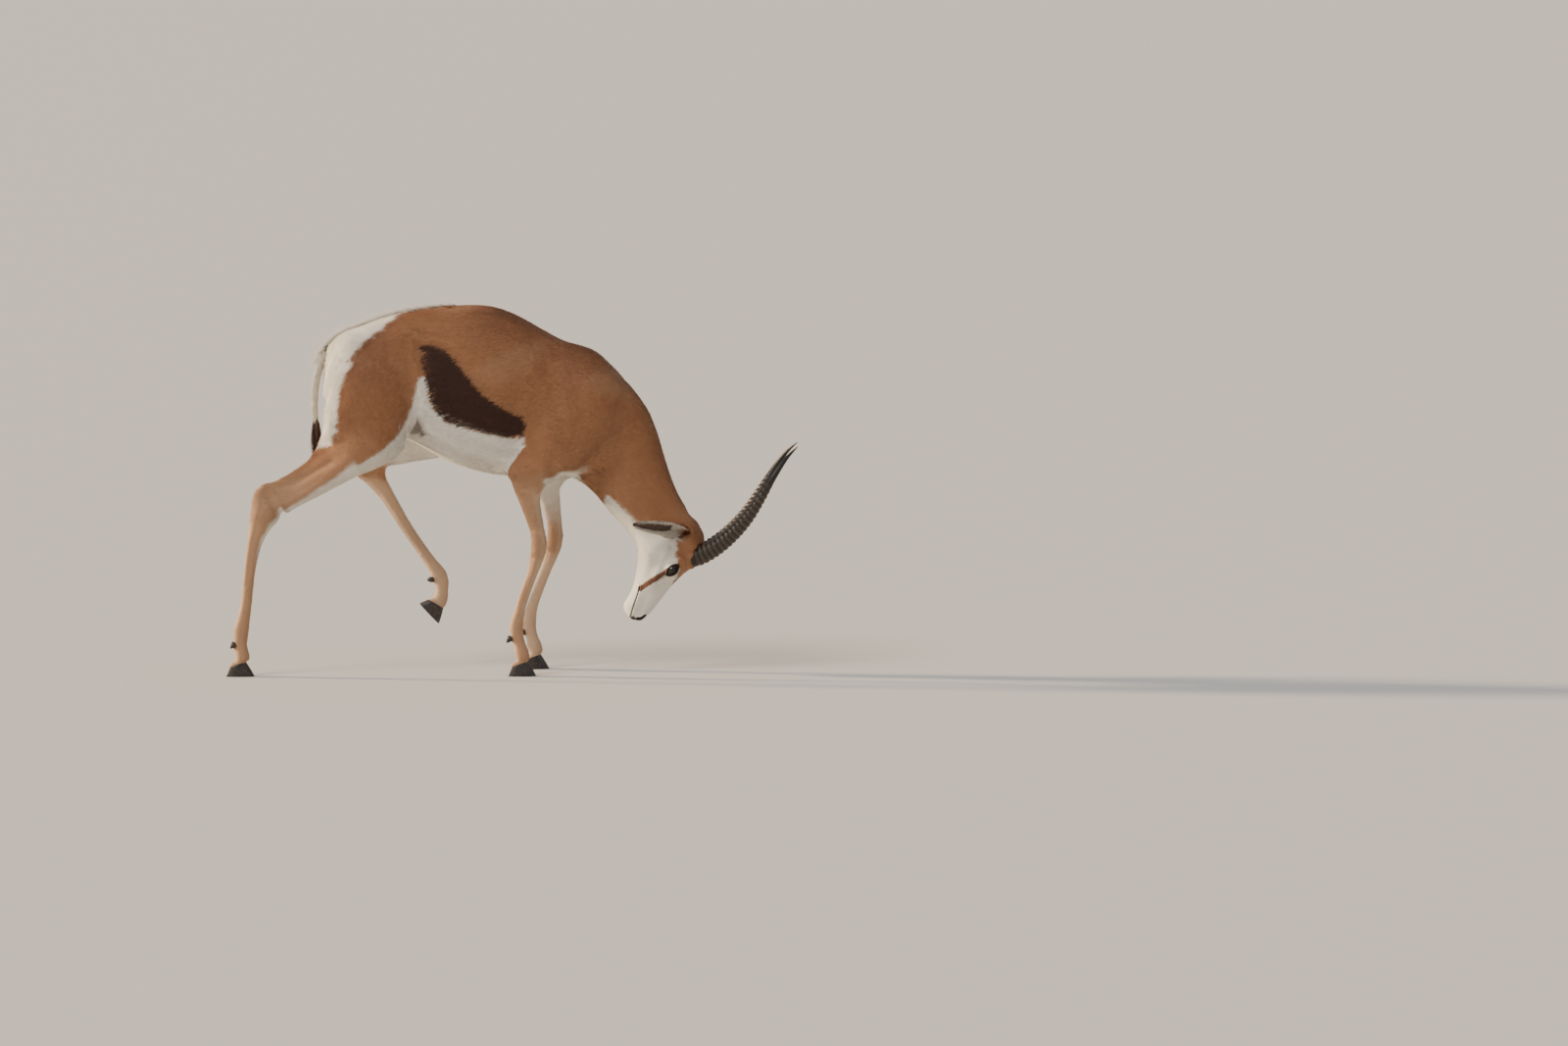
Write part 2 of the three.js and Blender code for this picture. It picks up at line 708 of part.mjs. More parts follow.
// One claw: pointed in front, flat inside and below, its wall leaning back as it rises
function claw(side) {
  const rows = 4;
  const outside = 7;
  const inside = 4;
  const rings = even(0, 1, rows).map((rise) => {
    const heel = CLAW_HEEL + 8 * rise;
    const toe = CLAW_TOE - 20 * rise;
    const width = CLAW_WIDTH * (1 - 0.06 * rise);
    const point = (share, across) => {
      const x = heel + (toe - heel) * share;
      const top = CORONET_HEIGHT + Math.tan(radians(CORONET_SLOPE)) * x - PARTING;
      return vector(x, side * (CLEFT + across), top * rise);
    };
    const bulge = (share) => width * Math.pow(Math.sin(Math.PI * Math.min(0.16 + share * 0.84, 1)), 0.5);
    const outer = even(0, 1, outside).map((share) => point(share, Math.max(bulge(share), 1.6)));
    const inner = even(0.96, 0.03, inside).map((share) => point(share, 0.9 * Math.pow(2 * share - 1, 4)));
    return side < 0 ? [...outer, ...inner] : [...outer, ...inner].reverse();
  });
  const middle = (ring) =>
    ring.reduce((sum, point) => sum.add(point), vector(0, 0, 0)).divideScalar(ring.length);
  return skinOver(rings, middle(rings[0]), middle(rings[rows - 1]));
}

// The two small claws behind the fetlock
function dewclaws(foot, centre) {
  return bothSides((side) => {
    const cone = new THREE.SphereGeometry(1, 6, 5).scale(6.5, 5, 8.5).rotateY(radians(28));
    const yaw = footPlace({ ...foot, x: centre[0], y: centre[1] + side * 8.5, z: centre[2] });
    return solidOf(cone.applyMatrix4(yaw));
  });
}

function addFoot(legName, leg, dewclawPlace) {
  const { pasternLine, fetlock, foot } = leg;
  let pastern = sleeve({ line: pasternLine, rings: 8, sides: 14, reach: 32 });
  pastern = pastern.intersect(beyond(fetlock)).subtract(belowCoronet(foot));
  for (const dewclaw of dewclaws(foot, dewclawPlace)) {
    pastern = pastern.add(dewclaw);
  }
  pieces.set(`${legName}_pastern`, largest(pastern));
  for (const side of [-1, 1]) {
    const shape = claw(side).applyMatrix4(footPlace(foot));
    pieces.set(`${legName}_claw_${side < 0 ? "right" : "left"}`, solidOf(shape));
  }
}

for (const leg of hindLegs) {
  const thighSleeve = sleeve({ line: leg.thighLine, rings: 13, sides: 20, reach: 125, domes: [true, false] });
  const thigh = thighSleeve.intersect(haunch(leg.side, leg.outline));
  pieces.set(`hind_${leg.name}_thigh`, largest(thigh.subtract(beyond(leg.stifle, PARTING))));

  const legSpace = sideBlock([[-800, 0], [0, 0], [0, 800], [-800, 800]], leg.side, HAUNCH_INSIDE, ASIDE);
  const gaskin = sleeve({
    line: leg.gaskinLine,
    rings: 14,
    sides: 16,
    reach: [[0, 110], [0.3, 100], [0.7, 60], [1, 50]],
  });
  pieces.set(
    `hind_${leg.name}_gaskin`,
    largest(gaskin.intersect(legSpace).intersect(beyond(leg.stifle)).subtract(beyond(leg.hock, PARTING))),
  );

  const cannon = sleeve({
    line: leg.cannonLine,
    rings: 15,
    sides: 14,
    reach: [[0, 62], [0.25, 56], [0.4, 34], [1, 32]],
    domes: [true, false],
  });
  pieces.set(
    `hind_${leg.name}_cannon`,
    largest(cannon.intersect(beyond(leg.hock)).subtract(beyond(leg.fetlock, PARTING))),
  );
  const [, fetlockCentre] = leg.pasternLine;
  const back = leg.foot.pitch ? [-20, 0, -6] : [-15, 0, -26];
  addFoot(`hind_${leg.name}`, leg, fetlockCentre.map((value, i) => value + back[i]));
}

for (const leg of foreLegs) {
  const forearmSleeve = sleeve({
    line: leg.forearmLine,
    rings: 17,
    sides: 16,
    reach: [[0, 88], [0.2, 84], [0.4, 62], [0.6, 45], [1, 40]],
  });
  const forearm = forearmSleeve.intersect(sideBlock(leg.outline, leg.side, FORE_INSIDE, ASIDE));
  pieces.set(`fore_${leg.name}_forearm`, largest(forearm.subtract(beyond(leg.knee, PARTING))));

  const cannon = sleeve({ line: leg.cannonLine, rings: 10, sides: 14, reach: 34 });
  pieces.set(
    `fore_${leg.name}_cannon`,
    largest(cannon.intersect(beyond(leg.knee)).subtract(beyond(leg.fetlock, PARTING))),
  );
  const [, fetlockCentre] = leg.pasternLine;
  addFoot(`fore_${leg.name}`, leg, fetlockCentre.map((value, i) => value + [-14, 0, -24][i]));
}

// Horns: a lyre that leans back, turns forward and hooks in at the tips, ringed for two thirds of its length
function horn(side, extra = 0) {
  const path = smoothLine([
    [352, side * 18, 246], [384, side * 25, 258], [420, side * 38, 279], [457, side * 58, 310],
    [492, side * 82, 350], [522, side * 101, 397], [550, side * 109, 443], [577, side * 96, 480],
    [600, side * 72, 502],
  ]);
  const taper = curve([
    [0, 1], [0.1, 1], [0.25, 0.9], [0.5, 0.68], [0.7, 0.48], [0.85, 0.3], [0.95, 0.16], [1, 0.07],
  ]);
  const ringsFrom = 0.11;
  const ringsTo = 0.72;
  const rowsPerRing = 2;
  const count = HORN_RINGS * rowsPerRing;
  const stops = [0, 0.05, ...even(ringsFrom, ringsTo, count + 1), 0.78, 0.84, 0.89, 0.94, 0.98, 1];
  const rings = stops.map((stop) => {
    const centre = path.getPointAt(stop);
    const { across, upward } = ringFrame(path.getTangentAt(stop));
    const turn = ((stop - ringsFrom) / (ringsTo - ringsFrom)) * HORN_RINGS;
    const inRings = stop > ringsFrom && stop < ringsTo;
    const ridge = inRings ? RING_HEIGHT * (1 - 0.5 * stop) * Math.cos(turn * 2 * Math.PI) : 0;
    const radius = HORN_RADIUS * taper(stop) - RING_HEIGHT + ridge + extra;
    return Array.from({ length: HORN_SIDES }, (_, i) => {
      const angle = (i / HORN_SIDES) * Math.PI * 2;
      return centre
        .clone()
        .addScaledVector(across, Math.cos(angle) * radius * 0.9)
        .addScaledVector(upward, Math.sin(angle) * radius * 1.08);
    });
  });
  const start = path.getPointAt(0).addScaledVector(path.getTangentAt(0), -extra);
  const tip = path.getPointAt(1).addScaledVector(path.getTangentAt(1), 3);
  return solidOf(skinOver(rings, start, tip));
}

// Ears: long pointed leaves, cupped, drawn back beside the neck
function earFrame(side) {
  const base = onHead(34, 26, side * 38);
  const axis = vector(-0.77, side * 0.61, 0.2).normalize();
  const outward = vector(-0.15, side * 0.85, -0.5);
  const open = outward.clone().addScaledVector(axis, -outward.dot(axis));
  open.normalize();
  return { base, axis, open, across: axis.clone().cross(open) };
}

// With extra it is the filled shape that the head makes room for.
function ear(side, extra = 0) {
  const { base, axis, open, across } = earFrame(side);
  const widthAt = curve([[0, 11], [0.12, 16], [0.3, 24], [0.5, 26], [0.7, 21], [0.88, 11], [1, 1.5]]);
  const cupAt = curve([[0, 13], [0.12, 17], [0.3, 17], [0.5, 13], [0.7, 8], [0.88, 3.5], [1, 0.5]]);
  const shares = even(-1, 1, 7);
  const rings = even(0, 1, 11).map((rise) => {
    const centre = base.clone().addScaledVector(axis, rise > 0 ? rise * EAR_LENGTH : -extra);
    const [width, cup] = [widthAt(rise) + extra, cupAt(rise)];
    const point = (share, thick) =>
      centre
        .clone()
        .addScaledVector(across, width * share)
        .addScaledVector(open, -cup * (1 - share * share) - thick);
    const filled = (share) => (extra ? -extra - cup * (1 - share * share) : 0);
    const inner = shares.map((share) => point(share, filled(share)));
    const bulge = (share) => 1.4 + 2.2 * (1 - share * share) * (1 - 0.6 * rise) + extra;
    const outer = [...shares].reverse().map((share) => point(share, bulge(share)));
    return [...inner, ...outer];
  });
  const tip = rings[rings.length - 1][3].clone().addScaledVector(axis, 2);
  const root = new THREE.SphereGeometry(EAR_ROOT + extra, 10, 7);
  const place = base.clone().addScaledVector(axis, 3).addScaledVector(open, -8);
  const start = base.clone().addScaledVector(open, -8).addScaledVector(axis, -extra);
  const leaf = solidOf(skinOver(rings, start, tip));
  return leaf.add(solidOf(root.translate(place.x, place.y, place.z)));
}

// Eyes and lids
function eyeCentre(side) {
  return onHead(EYE_ALONG, EYE_ABOVE, side * EYE_ASIDE);
}

function ball(centre, radius) {
  return solidOf(new THREE.SphereGeometry(radius, 14, 9).translate(centre.x, centre.y, centre.z));
}

// The almond opening between the lids, drawn out sideways from the eye
function lidOpening(side) {
  const shape = new THREE.Shape();
  shape.moveTo(-15, -2);
  shape.quadraticCurveTo(-4, 18, 15, 1);
  shape.quadraticCurveTo(4, -18, -15, -2);
  const block = new THREE.ExtrudeGeometry(shape, { depth: 60, bevelEnabled: false, curveSegments: 7 });
  block.rotateX(side * -Math.PI / 2);
  block.rotateY(radians(180 - HEAD_PITCH));
  const centre = eyeCentre(side);
  return solidOf(block.translate(centre.x, centre.y, centre.z));
}

// Head
const headReach = [[0, 90], [0.4, 80], [1, 60]];
const headLine = [20, 60, 120, 180, 238].map((along) => {
  const point = onHead(along, along < 150 ? 4 : 2, 0);
  return [point.x, point.y, point.z];
});
let head = sleeve({ line: headLine, rings: 27, sides: 20, reach: headReach, domes: [true, true] });
head = head.intersect(beyond(THROAT));

// The line of the mouth is a thin slot, cut no deeper than a few millimetres below the lips
const lipCore = sleeve({
  line: headLine.slice(2), rings: 8, sides: 14, reach: headReach, domes: [false, true], shrink: 4,
});
const mouthOutline = [
  [270, -4.5], [236, -8], [205, -12], [186, -16.5], [184, -18.5], [205, -15], [236, -11.2], [270, -8],
]
  .map(([along, above]) => onHead(along, above, 0))
  .map((point) => [point.x, point.z]);
const mouthSlot = sideBlock(mouthOutline, -1, -60, 60).subtract(lipCore);
head = head.subtract(mouthSlot);

for (const side of [-1, 1]) {
  const name = side < 0 ? "right" : "left";
  const nostril = new THREE.SphereGeometry(1, 10, 6).scale(9, 5.5, 3.8);
  nostril.rotateY(radians(180 - HEAD_PITCH - 35));
  const nostrilPlace = onHead(243, 14, side * 19);
  head = head.add(ball(eyeCentre(side), EYE_RADIUS + LID_THICKNESS));
  head = head.subtract(ball(eyeCentre(side), EYE_RADIUS + PARTING));
  head = head.subtract(lidOpening(side));
  head = head.subtract(solidOf(nostril.translate(nostrilPlace.x, nostrilPlace.y, nostrilPlace.z)));
  head = head.subtract(horn(side, PARTING));
  head = head.subtract(ear(side, PARTING));
  pieces.set(`eye_${name}`, ball(eyeCentre(side), EYE_RADIUS));
  pieces.set(`horn_${name}`, horn(side));
  pieces.set(`ear_${name}`, largest(ear(side)));
}
pieces.set("head", largest(head));

// Tail, its root let into the rump, with a tuft of flat locks at its end
const tailPath = smoothLine([
  [-414, 0, 716], [-436, 0, 698], [-450, 0, 660], [-457, 0, 600], [-455, 0, 545], [-449, 0, 500],
  [-446, 0, 476],
]);
const tailTaper = curve([[0, 1.05], [0.3, 0.85], [0.6, 0.68], [1, 0.4]]);

function tailTube(extra = 0) {
  const rings = even(0, 1, 11).map((stop) => {
    const centre = tailPath.getPointAt(stop);
    const { across, upward } = ringFrame(tailPath.getTangentAt(stop));
    const radius = TAIL_RADIUS * tailTaper(stop) + extra;
    return Array.from({ length: 8 }, (_, i) => {
      const angle = (i / 8) * Math.PI * 2;
      return centre
        .clone()
        .addScaledVector(across, Math.cos(angle) * radius)
        .addScaledVector(upward, Math.sin(angle) * radius);
    });
  });
  const start = tailPath.getPointAt(0).addScaledVector(tailPath.getTangentAt(0), -extra);
  return solidOf(skinOver(rings, start, tailPath.getPointAt(1)));
}

// A flat lock of hair from the tail's side, tapering to a point
function tuftLock(index) {
  const share = index / TUFT_LOCKS;
  const root = tailPath.getPointAt(0.56 + 0.38 * share);
  const angle = index * 2.4;
  const out = vector(Math.cos(angle), Math.sin(angle), 0);
  const flat = vector(-Math.sin(angle), Math.cos(angle), 0);
  const length = 66 + 14 * Math.cos(index * 1.7);
  const rings = [0, 0.3, 0.6, 0.85].map((rise) => {
    const centre = root
      .clone()
      .addScaledVector(out, 1 + 8 * Math.sin(rise * 2.2))
      .add(vector(0, 0, -length * rise));
    const [wide, thick] = [8.5 * Math.cos(rise * 1.3), 3.2 * (1 - rise * 0.7)];
    return [[1, 0], [0, 1], [-1, 0], [0, -1]].map(([u, v]) =>
      centre.clone().addScaledVector(flat, u * wide).addScaledVector(out, v * thick),
    );
  });
  const end = root.clone().addScaledVector(out, 5).add(vector(0, 0, -length));
  return solidOf(skinOver(rings, root.clone().add(vector(0, 0, 4)), end));
}
const tuftCore = new THREE.SphereGeometry(1, 8, 6).scale(10, 9, 42).translate(-449, 0, 500);
let tail = tailTube().add(solidOf(tuftCore));
for (let index = 0; index < TUFT_LOCKS; index++) {
  tail = tail.add(tuftLock(index));
}
pieces.set("tail", largest(tail));
pieces.set("torso", largest(pieces.get("torso").subtract(tailTube(PARTING))));
for (const side of [-1, 1]) {
  pieces.set("neck", largest(pieces.get("neck").subtract(ear(side, PARTING))));
}

// Colours by the kind of piece
const COLOURS = {
  eye: 0x1a100a,
  horn: 0x2e2823,
  claw: 0x231d19,
  head: 0xd9c7ae,
  tail: 0xe0d6c6,
  ear: 0xb08d68,
  coat: 0xa8683a,
};

function colourOf(name) {
  const kind = Object.keys(COLOURS).find((key) => name.includes(key));
  return COLOURS[kind ?? "coat"];
}

const springbok = new THREE.Group();
for (const [name, solid] of pieces) {
  const { vertProperties, triVerts } = solid.getMesh();
  const geometry = new THREE.BufferGeometry();
  geometry.setAttribute("position", new THREE.BufferAttribute(new Float32Array(vertProperties), 3));
  geometry.setIndex(new THREE.BufferAttribute(new Uint32Array(triVerts), 1));
  geometry.translate(-MIDDLE_X, 0, 0);
  const mesh = new THREE.Mesh(geometry, new THREE.MeshStandardMaterial({ color: colourOf(name) }));
  mesh.name = name;
  springbok.add(mesh);
}
export default springbok;
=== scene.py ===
"""A life-size springbok, head lowered and one hind foot lifted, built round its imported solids."""

import math

import bmesh
import bpy
import numpy as np
from mathutils import Matrix, Vector
from mathutils.bvhtree import BVHTree


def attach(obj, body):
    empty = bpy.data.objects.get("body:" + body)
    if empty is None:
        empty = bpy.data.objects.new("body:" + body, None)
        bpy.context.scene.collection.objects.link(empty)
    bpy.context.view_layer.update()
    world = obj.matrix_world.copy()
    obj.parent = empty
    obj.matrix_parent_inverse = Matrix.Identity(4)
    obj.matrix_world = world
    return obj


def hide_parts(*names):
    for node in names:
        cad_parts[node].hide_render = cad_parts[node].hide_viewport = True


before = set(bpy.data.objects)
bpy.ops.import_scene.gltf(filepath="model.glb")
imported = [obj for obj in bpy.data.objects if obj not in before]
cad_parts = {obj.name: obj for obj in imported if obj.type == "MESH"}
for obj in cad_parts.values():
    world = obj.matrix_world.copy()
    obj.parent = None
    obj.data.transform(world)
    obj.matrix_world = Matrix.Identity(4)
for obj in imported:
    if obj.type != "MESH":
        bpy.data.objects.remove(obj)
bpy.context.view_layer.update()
scene = bpy.context.scene

# Studio. A long lens looks at the animal's right side from a little above, over a plain pale floor. A broad
# soft key comes from the left, and a low warm light from behind the rump rims the back and the legs.
LOOK_AT = Vector((0.594, 0.0, 0.329))
LOOK_DOWN = math.radians(4.5)
VIEW_DISTANCE = 20.0
VIEW_WIDTH = 3.44
SENSOR_WIDTH = 36
camera = bpy.data.objects.new("camera", bpy.data.cameras.new("camera"))
camera.data.sensor_width = SENSOR_WIDTH
camera.data.lens = SENSOR_WIDTH * VIEW_DISTANCE / VIEW_WIDTH
camera.data.clip_end = 400
camera.location = LOOK_AT + VIEW_DISTANCE * Vector((0, -math.cos(LOOK_DOWN), math.sin(LOOK_DOWN)))
camera.rotation_euler = (math.pi / 2 - LOOK_DOWN, 0, 0)
scene.collection.objects.link(camera)
scene.camera = camera

floor_mesh = bpy.data.meshes.new("floor")
floor_mesh.from_pydata([(-150, -60, 0), (150, -60, 0), (150, 150, 0), (-150, 150, 0)], [], [(0, 1, 2, 3)])
floor = bpy.data.objects.new("floor", floor_mesh)
scene.collection.objects.link(floor)

world = bpy.data.worlds.new("studio")
world.use_nodes = True
scene.world = world


def fill(holder, **values):
    """Sets a node's inputs, or wires them to sockets; in a name _ is a blank, and _1 is input number 1."""
    for label, value in values.items():
        taken = holder.inputs[int(label[1:]) if label[0] == "_" else label.replace("_", " ")]
        if isinstance(value, bpy.types.NodeSocket):
            holder.id_data.links.new(value, taken)
        else:
            taken.default_value = value


def new_paint(name, **values):
    """A new material, its node tree and its shader, whose inputs are set to the values."""
    material = bpy.data.materials.new(name)
    material.use_nodes = True
    shader = material.node_tree.nodes["Principled BSDF"]
    fill(shader, **values)
    return material, material.node_tree, shader


FLOOR_GREY = (0.60, 0.585, 0.56, 1)
SKY = (0.93, 0.96, 1.0, 1)
floor_mesh.materials.append(new_paint("floor_paint", Base_Color=FLOOR_GREY, Roughness=0.9)[0])
fill(world.node_tree.nodes["Background"], Color=SKY, Strength=0.50)


def soft_sun(name, place, angle, strength, colour):
    """A lamp at infinity, seen from the animal in the direction of place; its angle softens the shadows."""
    lamp = bpy.data.lights.new(name, "SUN")
    lamp.angle = math.radians(angle)
    lamp.energy = strength
    lamp.color = colour
    holder = bpy.data.objects.new(name, lamp)
    holder.rotation_euler = (-Vector(place)).to_track_quat("-Z", "Y").to_euler()
    scene.collection.objects.link(holder)


soft_sun("key", (-1.6, -1.6, 1.9), 24, 1.7, (1.0, 0.95, 0.88))
soft_sun("rim", (-2.9, 0.55, 0.85), 5, 7.0, (1.0, 0.74, 0.47))

# Lines through the body. Each follows one part of the animal the way its hair lies, and carries what that
# part needs: how thick it is, how far its hide is evened out, how deep its coat is, and how long and wide
# its tufts are, in millimetres.
MIDDLE_X = 24
HEAD_BACK_X, HEAD_BACK_Z = 352, 348
FACE_COS, FACE_SIN = 0.4478, 0.894


def on_head(along, above, aside):
    """A point so far down the face from the back of the skull and so far in front of its middle."""
    return (HEAD_BACK_X - FACE_COS * along + FACE_SIN * above, aside,
            HEAD_BACK_Z - FACE_SIN * along - FACE_COS * above)


# Points of each line, in millimetres: along the body, aside and up
PATHS = {
    "trunk": [
        (196, 0, 500), (130, 0, 560), (50, 0, 592), (-40, 0, 620), (-140, 0, 646), (-240, 0, 668),
        (-330, 0, 668), (-420, 0, 640)],
    "neck": [(314, 0, 348), (292, 0, 366), (264, 0, 402), (232, 0, 450), (196, 0, 500)],
    "head": [on_head(a, 2, 0) for a in (262, 220, 160, 100, 50, 6)],
    "thigh_right": [(-330, -60, 740), (-345, -70, 680), (-344, -76, 620), (-338, -80, 560), (-326, -84, 505)],
    "thigh_left": [(-320, 60, 740), (-322, 68, 680), (-300, 80, 610), (-255, 88, 560), (-215, 92, 510)],
    "gaskin_right": [
        (-326, -84, 505), (-350, -86, 492), (-407, -86, 452), (-457, -85, 420), (-510, -84, 392),
        (-560, -83, 368)],
    "gaskin_left": [(-215, 92, 510), (-232, 100, 499), (-276, 107, 483), (-316, 114, 468), (-372, 120, 448)],
    "cannon_right": [
        (-568, -83, 372), (-568, -83, 350), (-585, -84, 300), (-597, -86, 240), (-607, -89, 148),
        (-616, -91, 100)],
    "cannon_left": [
        (-372, 121, 452), (-352, 121, 430), (-308, 121, 384), (-266, 121, 314), (-214, 120, 238),
        (-191, 120, 204)],
    "pastern_hind_right": [(-616, -91, 100), (-618, -92, 68), (-613, -92, 34), (-610, -92, 14)],
    "pastern_hind_left": [(-191, 120, 204), (-185, 120, 174), (-190, 120, 140), (-196, 120, 118)],
    "forearm_right": [
        (50, -75, 540), (36, -76, 500), (20, -77, 466), (7, -78, 430), (9, -78, 405), (20, -79, 362),
        (31, -80, 318), (33, -81, 284)],
    "forearm_left": [
        (90, 75, 540), (76, 76, 500), (60, 77, 466), (47, 78, 430), (49, 78, 405), (58, 80, 362),
        (65, 81, 318), (66, 82, 284)],
    "shin_right": [
        (33, -81, 284), (31, -81, 264), (20, -82, 226), (5, -83, 184), (-9, -84, 140), (-16, -84, 106)],
    "shin_left": [(66, 82, 284), (61, 83, 264), (48, 84, 226), (32, 85, 184), (16, 86, 140), (8, 86, 106)],
    "pastern_fore_right": [(-16, -84, 106), (-10, -84, 76), (-1, -84, 36), (4, -84, 14)],
    "pastern_fore_left": [(8, 86, 106), (13, 86, 76), (23, 86, 36), (28, 86, 14)],
    "ear_right": [(360 - 133 * k, -38 - 101 * k, 306 + 33 * k) for k in (0.1, 0.4, 0.7, 1)],
    "ear_left": [(360 - 133 * k, 38 + 101 * k, 306 + 33 * k) for k in (0.1, 0.4, 0.7, 1)],
    "tail": [(-436, 0, 698), (-450, 0, 660), (-457, 0, 600), (-455, 0, 545), (-449, 0, 500), (-446, 0, 470)],
}
BUILD = {
    "trunk": dict(thick=135, even=0.6, deep=3.4, long=13, wide=1.9),
    "neck": dict(thick=92, even=0.45, deep=3.2, long=12, wide=1.8),
    "head": dict(thick=66, even=0.16, deep=0.9, long=4.6, wide=0.95),
    "thigh": dict(thick=68, even=0.45, deep=2.8, long=11, wide=1.7),
    "gaskin": dict(thick=38, even=0.22, deep=1.7, long=8.5, wide=1.4),
    "cannon": dict(thick=20, even=0.1, deep=1.0, long=5.4, wide=1.0),
    "pastern_hind": dict(thick=20, even=0.1, deep=1.0, long=4.8, wide=0.95),
    "forearm": dict(thick=34, even=0.25, deep=1.8, long=8.5, wide=1.4),
    "shin": dict(thick=18, even=0.1, deep=1.0, long=5.4, wide=1.0),
    "pastern_fore": dict(thick=19, even=0.1, deep=1.0, long=4.8, wide=0.95),
    "ear": dict(thick=27, even=0.16, deep=0.9, long=5.5, wide=0.85),
    "tail": dict(thick=9, even=0.1, deep=1.0, long=16, wide=1.3),
}
LINES = {name: dict(points=points, **next(BUILD[part] for part in BUILD if name.startswith(part)))
         for name, points in PATHS.items()}
LINE_NAMES = list(LINES)


def metres(points):
    return (np.asarray(points, float) + (MIDDLE_X, 0, 0)) / 1000


def stretches(points, line):
    """For each straight stretch of a line: how far off the points lie, how far along, and where on it."""
    path = metres(line["points"])
    start = 0.0
    for a, b in zip(path[:-1], path[1:]):
        length = np.linalg.norm(b - a)
        direction = (b - a) / length
        share = np.clip((points - a) @ direction, 0, length)
        place = a + share[:, None] * direction
        yield np.linalg.norm(points - place, axis=1), start + share, place, direction
        start += length


def nearest_line(points):
    """For each point: its line's number, how far along it lies, the nearest point on it and its direction."""
    count = len(points)
    best = np.full(count, 1e9)
    line_at = np.zeros(count, int)
    along = np.zeros(count)
    foot = np.zeros((count, 3))
    way = np.zeros((count, 3))
    for number, line in enumerate(LINES.values()):
        for gap, so_far, place, direction in stretches(points, line):
            gap = gap / line["thick"]
            closer = gap < best
            best[closer] = gap[closer]
            line_at[closer] = number
            along[closer] = so_far[closer]
            foot[closer] = place[closer]
            way[closer] = direction
    return line_at, along, foot, way


def of_line(key, line_at):
    return np.array([line[key] for line in LINES.values()], float)[line_at]


def on_lines(line_at, *names):
    return np.isin(line_at, [LINE_NAMES.index(name) for name in names])


# Hide. One closed skin under the coat stands for every part of flesh. It is drawn from the solids, so the
# gaps between them close, is evened out until no facet shows, and lies in from them by the coat's depth.
FLESH = ["torso", "neck", "head"]
for side in ("right", "left"):
    FLESH += [f"hind_{side}_{part}" for part in ("thigh", "gaskin", "cannon", "pastern")]
    FLESH += [f"fore_{side}_{part}" for part in ("forearm", "cannon", "pastern")]
HIDE_GRAIN = 0.0034
HIDE_KEPT = 0.385
HORN_SEAT_RADIUS = 0.022


def points_of(mesh):
    co = np.empty(len(mesh.vertices) * 3)
    mesh.vertices.foreach_get("co", co)
    return co.reshape(-1, 3)


def edges_of(mesh):
    ends = np.empty(len(mesh.edges) * 2, int)
    mesh.edges.foreach_get("vertices", ends)
    return ends.reshape(-1, 2)


def normals_of(mesh):
    normals = np.empty(len(mesh.vertices) * 3)
    mesh.vertices.foreach_get("normal", normals)
    return normals.reshape(-1, 3)


def place_points(mesh, points):
    mesh.vertices.foreach_set("co", np.ascontiguousarray(points).ravel())
    mesh.update()


def shade_smooth(mesh):
    mesh.polygons.foreach_set("use_smooth", np.ones(len(mesh.polygons), bool))


def colour_points(mesh, name, colours):
    layer = mesh.attributes.new(name, "FLOAT_COLOR", "POINT")
    layer.data.foreach_set("color", np.column_stack([colours, np.ones(len(colours))]).ravel())


def spread(values, edges, strength, rounds):
    """Lets values even out along the edges; strength says how far each one gives way."""
    values = values.copy()
    count, width = values.shape
    a, b = edges.T
    degree = np.maximum(np.bincount(edges.ravel(), minlength=count), 1)[:, None]
    for _ in range(rounds):
        total = np.empty_like(values)
        for k in range(width):
            total[:, k] = np.bincount(a, values[b, k], count) + np.bincount(b, values[a, k], count)
        values += strength * (total / degree - values)
    return values


def smoothstep(low, high, value):
    share = np.clip((value - low) / (high - low), 0, 1)
    return share * share * (3 - 2 * share)


def new_piece(name, mesh):
    piece = bpy.data.objects.new(name, mesh)
    scene.collection.objects.link(piece)
    return piece


def add_modifier(piece, kind, **settings):
    modifier = piece.modifiers.new(kind.lower(), kind)
    for key, value in settings.items():
        setattr(modifier, key, value)


def finished_mesh(piece):
    """The piece's mesh with its modifiers applied and taken off."""
    shown = bpy.data.meshes.new_from_object(piece.evaluated_get(bpy.context.evaluated_depsgraph_get()))
    piece.modifiers.clear()
    piece.data = shown
    return shown


def leaf(rings, closed_by):
    """A closed surface over rings of points, with one point at either end."""
    sides = len(rings[0])
    points = np.concatenate([*rings, np.asarray(closed_by)])
    faces = []
    for ring in range(len(rings) - 1):
        for side in range(sides):
            here, after = ring * sides, (side + 1) % sides
            faces.append((here + side, here + after, here + sides + after, here + sides + side))
    last = (len(rings) - 1) * sides
    for side in range(sides):
        after = (side + 1) % sides
        faces.append((len(points) - 2, after, side))
        faces.append((len(points) - 1, last + side, last + after))
    mesh = bpy.data.meshes.new("leaf")
    mesh.from_pydata(points.tolist(), [], faces)
    shell = bmesh.new()
    shell.from_mesh(mesh)
    bmesh.ops.recalc_face_normals(shell, faces=shell.faces)
    shell.to_mesh(mesh)
    shell.free()
    return mesh


# Each foot's sole, in the middle, and how far its toe is pitched down; the soft heel that rises inside the
# claws, as places and sizes in the foot; the middle of each pair of dewclaws, and how far they are pitched
FEET = {"hind_right": (-616, -92, 0, 0), "hind_left": (-212, 120, 117, 47),
        "fore_right": (0, -84, 0, 0), "fore_left": (24, 86, 0, 0)}
HEEL = [((-7, 0, 20), (19, 15, 15)), ((-15, 7.5, 20), (13, 8, 11)), ((-15, -7.5, 20), (13, 8, 11))]
DEWCLAWS = [(-633, -91, 68, 28), (-209, 120, 194, 75), (-30, -84, 80, 28), (-6, 86, 80, 28)]


